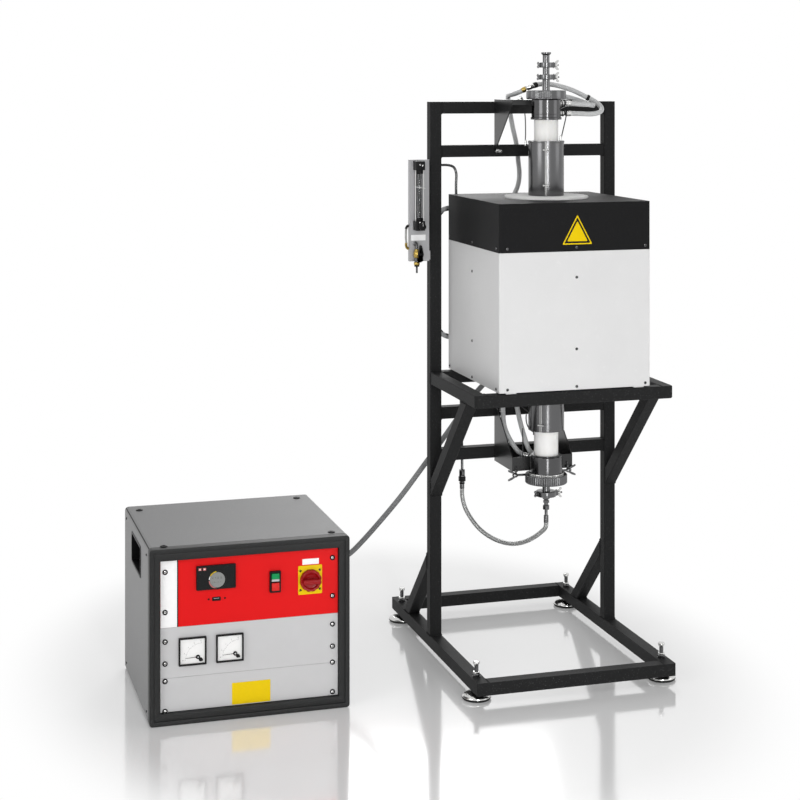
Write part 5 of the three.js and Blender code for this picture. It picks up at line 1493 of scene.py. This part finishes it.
class FURNACE_OT_cabinet(bpy.types.Operator):
    """Cabinet body, front frame, handle cups, top caps and cable gland"""

    bl_idname = "furnace.cabinet"
    bl_label = "Cabinet"

    def execute(self, context):
        dress("cabinet top", "cabinet_body")
        dress("cabinet frame", "power_transformer")
        origin = CABINET
        front = Piece()
        outline = box_outline(0, WIDTH, 0, HEIGHT, .010, 10)
        step = box_outline(.0125, WIDTH - .0125, .0125, HEIGHT - .0125, .003, 10)
        opening = box_outline(RACK_LEFT - .001, RACK_RIGHT + .001, RACK_LOW - .001,
                              RACK_LOW + 9 * RACK_UNIT + .001, .0012, 10)
        front.slab(outline, 0, .030, .0016, "y", hole=step, origin=origin)
        front.slab(inset(step, -.0005), .0030, .0300, .0010, "y", hole=opening, origin=origin)
        for x in (RACK_LEFT - .002, RACK_RIGHT - .014):
            front.block(origin + (x, .0173, RACK_LOW - .004),
                        origin + (x + .016, .0273, RACK_LOW + .404), .0008)
        front.make("cabinet_front_frame", "cabinet frame", slot="cabinet_frame", replaces=["front_frame"])

        cups = Piece()
        pocket = box_outline(*HANDLE, .006, 8)
        for wall, out in ((0, -1), (WIDTH, 1)):
            rows = [(.0003, -.0236), (.0003, .0002), (-.0045, .0002), (-.0050, .0008), (-.0045, .0016),
                    (.0004, .0016), (.0012, .0008), (.0012, -.0230)]
            rings = [np.column_stack([np.full(len(pocket), wall + out * depth), inset(pocket, d)]) + origin
                     for d, depth in rows]
            cups.surface(np.stack(rings)).cap(rings[0]).cap(rings[-1])
        cups.make("handle_cups", "black plastic", slot="black_plastic")

        caps = Piece()
        for x, y in ((.042, .030), (.503, .046), (.034, .436), (.500, .452)):
            caps.turned([(0, HEIGHT), (.0100, HEIGHT), (.0098, HEIGHT + .0016), (.0075, HEIGHT + .0030),
                         (.0040, HEIGHT + .0032), (.0034, HEIGHT + .0012), (0, HEIGHT + .0012)],
                        origin + (x, y, 0), segments=40, soft=.0005)
        gland = origin + (.3815, 0, .090)
        caps.slab(hexagon(.0335, .26), DEPTH, DEPTH + .0066, .0010, "y", origin=gland)
        caps.turned([(.0090, DEPTH + .0060), (.0135, DEPTH + .0064), (.0135, DEPTH + .0205),
                     (.0118, DEPTH + .0262), (.0090, DEPTH + .0264)], gland, "y", 96, soft=.0010,
                    flutes=knurl(24, .0006, (4, 9)))
        caps.make("cabinet_caps", "black plastic", slot="black_plastic")

        # Dark rods inside the four long edges of the folded body: painted shade that keeps the seams dark
        seam_shade = Piece()
        for x in (SEAM_SHADE_INSET, WIDTH - SEAM_SHADE_INSET):
            for z in (SEAM_SHADE_INSET, HEIGHT - SEAM_SHADE_INSET):
                run = np.array([(x, .0306, z), (x, .2500, z), (x, DEPTH - .0020, z)])
                seam_shade.swept(origin + run, SEAM_SHADE_RADIUS, 24)
        seam_shade.make("seam_shade_rods", "black rubber", slot="black_plastic")

        edges = Piece()
        for side, x in ((-1, origin[0]), (1, origin[0] + WIDTH)):
            for z in (.025, .440):
                for y in (.055, .455):
                    screw(edges, (x, origin[1] + y, z), "x", side, .0036)
        for x in (.020, .523):
            for z in (.020, .230, .445):
                screw(edges, origin + (x, DEPTH, z), "y", 1, .0036)
        edges.make("cabinet_screws", ["black screw", "black print"], slot="cabinet_frame")

        boots = Piece()
        path = smooth_route(stand_route(POWER_CABLE), .004)
        total = route_length(path)
        t = np.linspace(0, 1, BOOT_POINTS)
        size = .0112 - .0024 * t - .0007 * (0.5 - 0.5 * np.cos(t * math.tau * BOOT_RIBS))
        for start, stop in ((0.0, .034), (total, total - .026)):
            boots.swept(stretch(path, start, stop, BOOT_POINTS), size, 28)
        boots.make("cable_boots", "black rubber", slot="cable")

        winding = origin + (.275, .265, 0)
        Piece().pin(.0368, .0415, .1085, winding, soft=.002).make(
            "transformer_winding", "copper", slot="brass")
        return {"FINISHED"}


def on_panel(piece, x0, x1, z0, z1, proud=.0004, look=0, radius=.0008, edge=.00015):
    """Thin plate stuck on the panels' face."""
    face = PANEL_FACE
    piece.slab(box_outline(x0, x1, z0, z1, radius, 5), face - proud, face, edge, "y", look, origin=CABINET)


class FURNACE_OT_panels(bpy.types.Operator):
    """Front panels, their screws, strip and bare plates"""

    bl_idname = "furnace.panels"
    bl_label = "Panels"

    def execute(self, context):
        dress("red paint", "control_panel")
        dress("grey paint", "meter_panel", "blank_panel")
        plates = Piece()
        low, high = RACK_LOW + 5 * RACK_UNIT + .0004, RACK_LOW + 9 * RACK_UNIT - .0004
        on_panel(plates, RACK_LEFT + .0008, .0748, low, high, look=0)
        on_panel(plates, .0748, .0782, low, high, look=1)
        on_panel(plates, .2218, .3265, .0340, .0920, .0005, 2, .0015)
        on_panel(plates, .4144, .4600, .3916, .4070, .0008, 0, .0015)
        plates.make("bare_plates", ["white plate", "black print", "yellow plate"],
                    slot="panel_grey")
        screws = Piece()
        for x, heights in SCREWS.items():
            for z in heights:
                place = CABINET + (x, PANEL_FACE - .0004, z)
                screws.turned([(.0030, -.0008), (.0052, -.0022), (.0070, -.0016), (.0072, 0), (.0030, 0)],
                              place, "y", 36, 2, loop=True, soft=.0003)
                screw(screws, place + (0, -.0006, 0), "y", -1, .0044)
        screws.make("panel_screws", ["zinc", "black print", "black screw"], slot="steel")
        return {"FINISHED"}


def arc_band(piece, centre, inner, outer, start, stop, y, look, count=24):
    """Flat arc in the panel's plane between two radii and two angles in degrees, facing the front."""
    angle = np.radians(np.linspace(start, stop, count))
    rows = [np.stack([r * np.cos(angle), np.full(count, y), r * np.sin(angle)], 1) + centre
            for r in (inner, outer)]
    piece.surface(np.stack(rows), look, around=False)


class FURNACE_OT_instruments(bpy.types.Operator):
    """Temperature controller, data port, meters with dials and needles"""

    bl_idname = "furnace.instruments"
    bl_label = "Instruments"

    def execute(self, context):
        x0, x1, z0, z1 = .1254, .2314, .3470, .4115
        face = PANEL_FACE - .0003
        unit = Piece()
        outline = box_outline(x0, x1, z0, z1, .0030, 8)
        window = box_outline(x0 + .0042, x1 - .0042, z0 + .0042, z1 - .0042, .0020, 8)
        unit.slab(outline, face - .0068, face, .0012, "y", 0, hole=window, origin=CABINET)
        unit.slab(inset(window, -.0002), face - .0056, face - .0010, .0002, "y", 1, origin=CABINET)
        unit.block(CABINET + (x0 + .005, face - .001, z0 + .005),
                   CABINET + (x1 - .005, face + .075, z1 - .005), .001, 0)
        dial = CABINET + (.1817, 0, .3722)
        glass_face = face - .0057
        unit.turned([(.0232, glass_face), (.0238, glass_face - .0010), (.0252, glass_face - .0010),
                     (.0258, glass_face)], dial, "y", 96, 2, loop=True)
        unit.turned([(0, glass_face - .0007), (.0200, glass_face - .0007), (.0204, glass_face - .0002),
                     (.0204, glass_face + .0006), (0, glass_face + .0006)], dial, "y", 96, 3)
        # Coloured arcs on the ring and two rows of digits
        for start, stop, look in ((98, 150, 4), (153, 176, 5), (186, 262, 6)):
            arc_band(unit, dial, .0212, .0232, start, stop, glass_face - .0006, look)
        for row, count, size, left in ((.0030, 4, .0046, -.0148), (-.0076, 5, .0030, -.0130)):
            for k in range(count):
                self.digit(unit, dial + (left + k * size * 1.65, glass_face - .0008, row), size,
                           str((3 * k + count) % 10))
        for x in (.1310, .1432):
            unit.block(CABINET + (x, glass_face - .0004, .3995),
                       CABINET + (x + .0078, glass_face + .0002, .4062), .0002, 6, .0008, "y")
            unit.block(CABINET + (x + .0026, glass_face - .0006, .4012),
                       CABINET + (x + .0052, glass_face, .4045), .0002, 5, .0004, "y")
        unit.make("controller_front", ["black plastic", "dark glass", "black rubber", "display",
                                       "yellow plate", "white plate", "pink key"], slot="black_plastic",
                  replaces=["temperature_controller"])

        port = Piece()
        hole = box_outline(.1700, .1900, .3164, .3238, .0008, 6)
        port.slab(inset(hole, -.0016), PANEL_FACE - .0010, PANEL_FACE, .0003, "y", 0, hole=hole,
                  origin=CABINET)
        port.slab(inset(hole, -.0002), PANEL_FACE - .0003, PANEL_FACE - .0001, .00005, "y", 1, origin=CABINET)
        port.block(CABINET + (.1728, PANEL_FACE - .0008, .3210),
                   CABINET + (.1872, PANEL_FACE, .3222), .0002, 2)
        for x in (.1590, .2030):
            screw(port, CABINET + (x, PANEL_FACE, .3204), "y", -1, .0026, 0, 1)
        port.make("data_port", ["black screw", "black print", "silver plate"], slot="steel")

        for side, x in (("left", .1155), ("right", .2155)):
            self.meter(side, x, .188)
        return {"FINISHED"}

    def digit(self, piece, place, size, number):
        """One seven-segment number, size high: upright and level bars, each a thin plate."""
        wide, bar = size * .56, size * .11
        bars = {"a": (0, size), "g": (0, size / 2), "d": (0, 0)}
        lit = {"0": "abcdef", "1": "bc", "2": "abged", "3": "abgcd", "4": "fgbc", "5": "afgcd", "6": "afgedc",
               "7": "abc", "8": "abcdefg", "9": "abcdfg"}[number]
        for segment in lit:
            if segment in bars:
                x, z = bars[segment]
                low, high = (x, z - bar / 2), (x + wide, z + bar / 2)
            else:
                x = wide if segment in "bc" else 0
                z = size / 2 if segment in "bf" else 0
                low, high = (x - bar / 2, z), (x + bar / 2, z + size / 2)
            ring = place + np.array([(low[0], 0, low[1]), (high[0], 0, low[1]), (high[0], 0, high[1]),
                                     (low[0], 0, high[1])])
            piece.cap(ring, 2)

    def meter(self, side, x, z):
        """A square meter: black frame round an open window, dial with its scale, cover of the pivot."""
        half, face = .037, PANEL_FACE - .0003
        centre = CABINET + (x, 0, z)
        box = Piece()
        frame_outline = box_outline(-half, half, -half, half, .0020, 8)
        window = box_outline(-half + .0042, half - .0042, -half + .0042, half - .0042, .0012, 8)
        box.slab(frame_outline, face - .0080, face, .0010, "y", 0, hole=window, origin=centre)
        box.slab(inset(window, -.0004), face - .0024, face - .0004, .0002, "y", 1, origin=centre)
        box.pin(.0300, face - .0005, face + .0450, centre, "y", 64, 0, soft=.001)
        pivot = centre + (.025, 0, -.025)
        dial_face = face - .0026
        arc_band(box, pivot, .0440, .0442, 92, 178, dial_face, 2, 40)
        # Scale marks 4.3 degrees apart, every fifth long and with its number
        for step in range(21):
            degrees = 92 + step * 4.3
            long = step % 5 == 0
            reach, wide = (.0472, .24) if long else (.0458, .12)
            arc_band(box, pivot, .0442, reach, degrees - wide, degrees + wide, dial_face, 2, 3)
            if long:
                angle = math.radians(degrees)
                spot = pivot + (.0502 * math.cos(angle) - .0012, dial_face, .0502 * math.sin(angle) - .0012)
                self.digit(box, spot, .0026, str(step // 5 * 2))
        for spot, radius in (((-.0035, 0, .0015), .0050), ((-.0105, 0, .0085), .0056)):
            box.turned([(0, dial_face - .0030), (radius - .0006, dial_face - .0030),
                        (radius, dial_face - .0022), (radius, dial_face), (0, dial_face)], pivot + spot, "y",
                       40, 0)
        box.pin(.0022, dial_face - .0034, dial_face - .0028, pivot + (-.0105, 0, .0085), "y", 24, 3)
        box.make(f"{side}_meter_case", ["black plastic", "dial", "black print", "silver plate"],
                 slot="dial_white", replaces=[f"{side}_meter"])
        node = f"{side}_meter_needle"
        blade = np.array([(.0015, -.0012), (.0015, .0012), (-.0080, .0090), (-.0100, .0094), (-.0440, .0076),
                          (-.0440, .0070), (-.0100, .0082), (-.0086, .0078), (-.0022, -.0002)])
        needle = Piece().slab(blade[::-1], face - .0050, face - .0045, .0001, "y", origin=pivot)
        needle.pin(.0030, face - .0052, face - .0036, pivot, "y", 28, soft=.0003)
        needle.make(f"{side}_needle", "black plastic", body=BODY_OF[node], slot="black_plastic",
                    replaces=[node])


class FURNACE_OT_switches(bpy.types.Operator):
    """Twin push-button switch and main isolator"""

    bl_idname = "furnace.switches"
    bl_label = "Switches"

    def execute(self, context):
        x, z, face = .3385, .354, PANEL_FACE - .0003
        centre = CABINET + (x, 0, z)
        housing = Piece()
        outline = box_outline(-.015, .015, -.0285, .0285, .0025, 8)
        window = box_outline(-.0112, .0112, -.0237, .0237, .0012, 8)
        housing.slab(outline, face - .0090, face, .0010, "y", hole=window, origin=centre)
        housing.slab(inset(window, -.0002), face - .0014, face, .0001, "y", origin=centre)
        housing.block(centre + (-.0112, face - .0088, -.0010), centre + (.0112, face - .0012, .0010), .0003)
        housing.block(centre + (-.010, face - .001, -.023), centre + (.010, face + .035, .023), .001)
        housing.make("switch_frame", "black plastic", slot="black_plastic", replaces=["switch_housing"])
        for name, node, middle_z, look, slot in (
                ("start_cap", "start_button", .0125, "green button", "green_plastic"),
                ("stop_cap", "stop_button", -.0125, "red button", "red_plastic")):
            low, high = middle_z - .0103, middle_z + .0103
            cap = Piece()
            split = low + .0058 if node == "start_button" else low
            cap.slab(box_outline(-.0103, .0103, split, high, .0014, 6), face - .0118, face - .0060, .0009,
                     "y", origin=centre)
            if split > low:
                cap.slab(box_outline(-.0103, .0103, low, split - .0002, .0010, 6), face - .0114, face - .0060,
                         .0006, "y", 1, origin=centre)
            cap.make(name, [look, "silver plate"], body=BODY_OF[node], slot=slot, replaces=[node])

        place = CABINET + (.4357, 0, .350)
        plate = Piece()
        plate.slab(box_outline(-.033, .033, -.0384, .0393, .0030, 8), PANEL_FACE - .0016, PANEL_FACE, .0005,
                   "y", origin=place)
        for turn in (44, 136, 224, 316):
            arc_band(plate, place, .0345, .0390, turn - 5.0, turn + 5.0, PANEL_FACE - .0019, 1, 4)
            arc_band(plate, place, .0405, .0415, turn - 4.0, turn + 4.0, PANEL_FACE - .0019, 1, 4)
        plate.make("isolator_plate", ["yellow plate", "black print"], slot="red_plastic")

        knob = Piece()
        back, rim = face - .0026, face - .0140
        knob.turned([(0, back), (.0288, back), (.0299, back - .0014), (.0299, rim + .0022), (.0284, rim),
                     (.0225, rim + .0006), (.0205, rim + .0052), (.0150, rim + .0062), (0, rim + .0062)],
                    place, "y", 216, soft=.0008, flutes=knurl(12, .0024, (4, 16)))
        grip = box_outline(-.0235, .0235, -.0062, .0062, .0055, 8)
        knob.slab(grip, face - .0278, rim + .0080, .0020, "y", origin=place)
        for side in (-1, 1):
            knob.slab(box_outline(side * .0155 - .0042, side * .0155 + .0042, -.0036, .0036, .0030, 6),
                      face - .0284, face - .0270, .0008, "y", origin=place)
        knob.swept(place + np.array([(0, rim + .006, 0), (0, face + .020, 0)]), .0045, 20)
        knob.make("isolator_handle", "dark red plastic", body=BODY_OF["isolator_knob"],
                  slot="red_plastic", replaces=["isolator_knob"])
        return {"FINISHED"}


class FURNACE_PT_panel(bpy.types.Panel):
    """Lists the furnace's operators and values"""

    bl_label = "Vertical Tube Furnace"
    bl_space_type = "VIEW_3D"
    bl_region_type = "UI"
    bl_category = "Furnace"

    def draw(self, context):
        for group in (sizes(), colours()):
            for key in group.__annotations__:
                self.layout.prop(group, key)
        for operator in OPERATORS:
            self.layout.operator(operator.bl_idname)


OPERATORS = (FURNACE_OT_stage, FURNACE_OT_cords, FURNACE_OT_hoses, FURNACE_OT_stand, FURNACE_OT_feet,
             FURNACE_OT_case, FURNACE_OT_tube, FURNACE_OT_heads, FURNACE_OT_brackets, FURNACE_OT_gas_line,
             FURNACE_OT_flow_meter, FURNACE_OT_cabinet, FURNACE_OT_panels, FURNACE_OT_instruments,
             FURNACE_OT_switches)
CLASSES = (FurnaceSizes, FurnaceColours, *OPERATORS, FURNACE_PT_panel)


def register():
    for item in CLASSES:
        bpy.utils.register_class(item)
    bpy.types.Scene.furnace_sizes = PointerProperty(type=FurnaceSizes)
    bpy.types.Scene.furnace_colours = PointerProperty(type=FurnaceColours)


def unregister():
    del bpy.types.Scene.furnace_colours
    del bpy.types.Scene.furnace_sizes
    for item in reversed(CLASSES):
        bpy.utils.unregister_class(item)


def main():
    register()
    for operator in OPERATORS:
        group, name = operator.bl_idname.split(".")
        getattr(getattr(bpy.ops, group), name)()


if __name__ == "__main__":
    main()
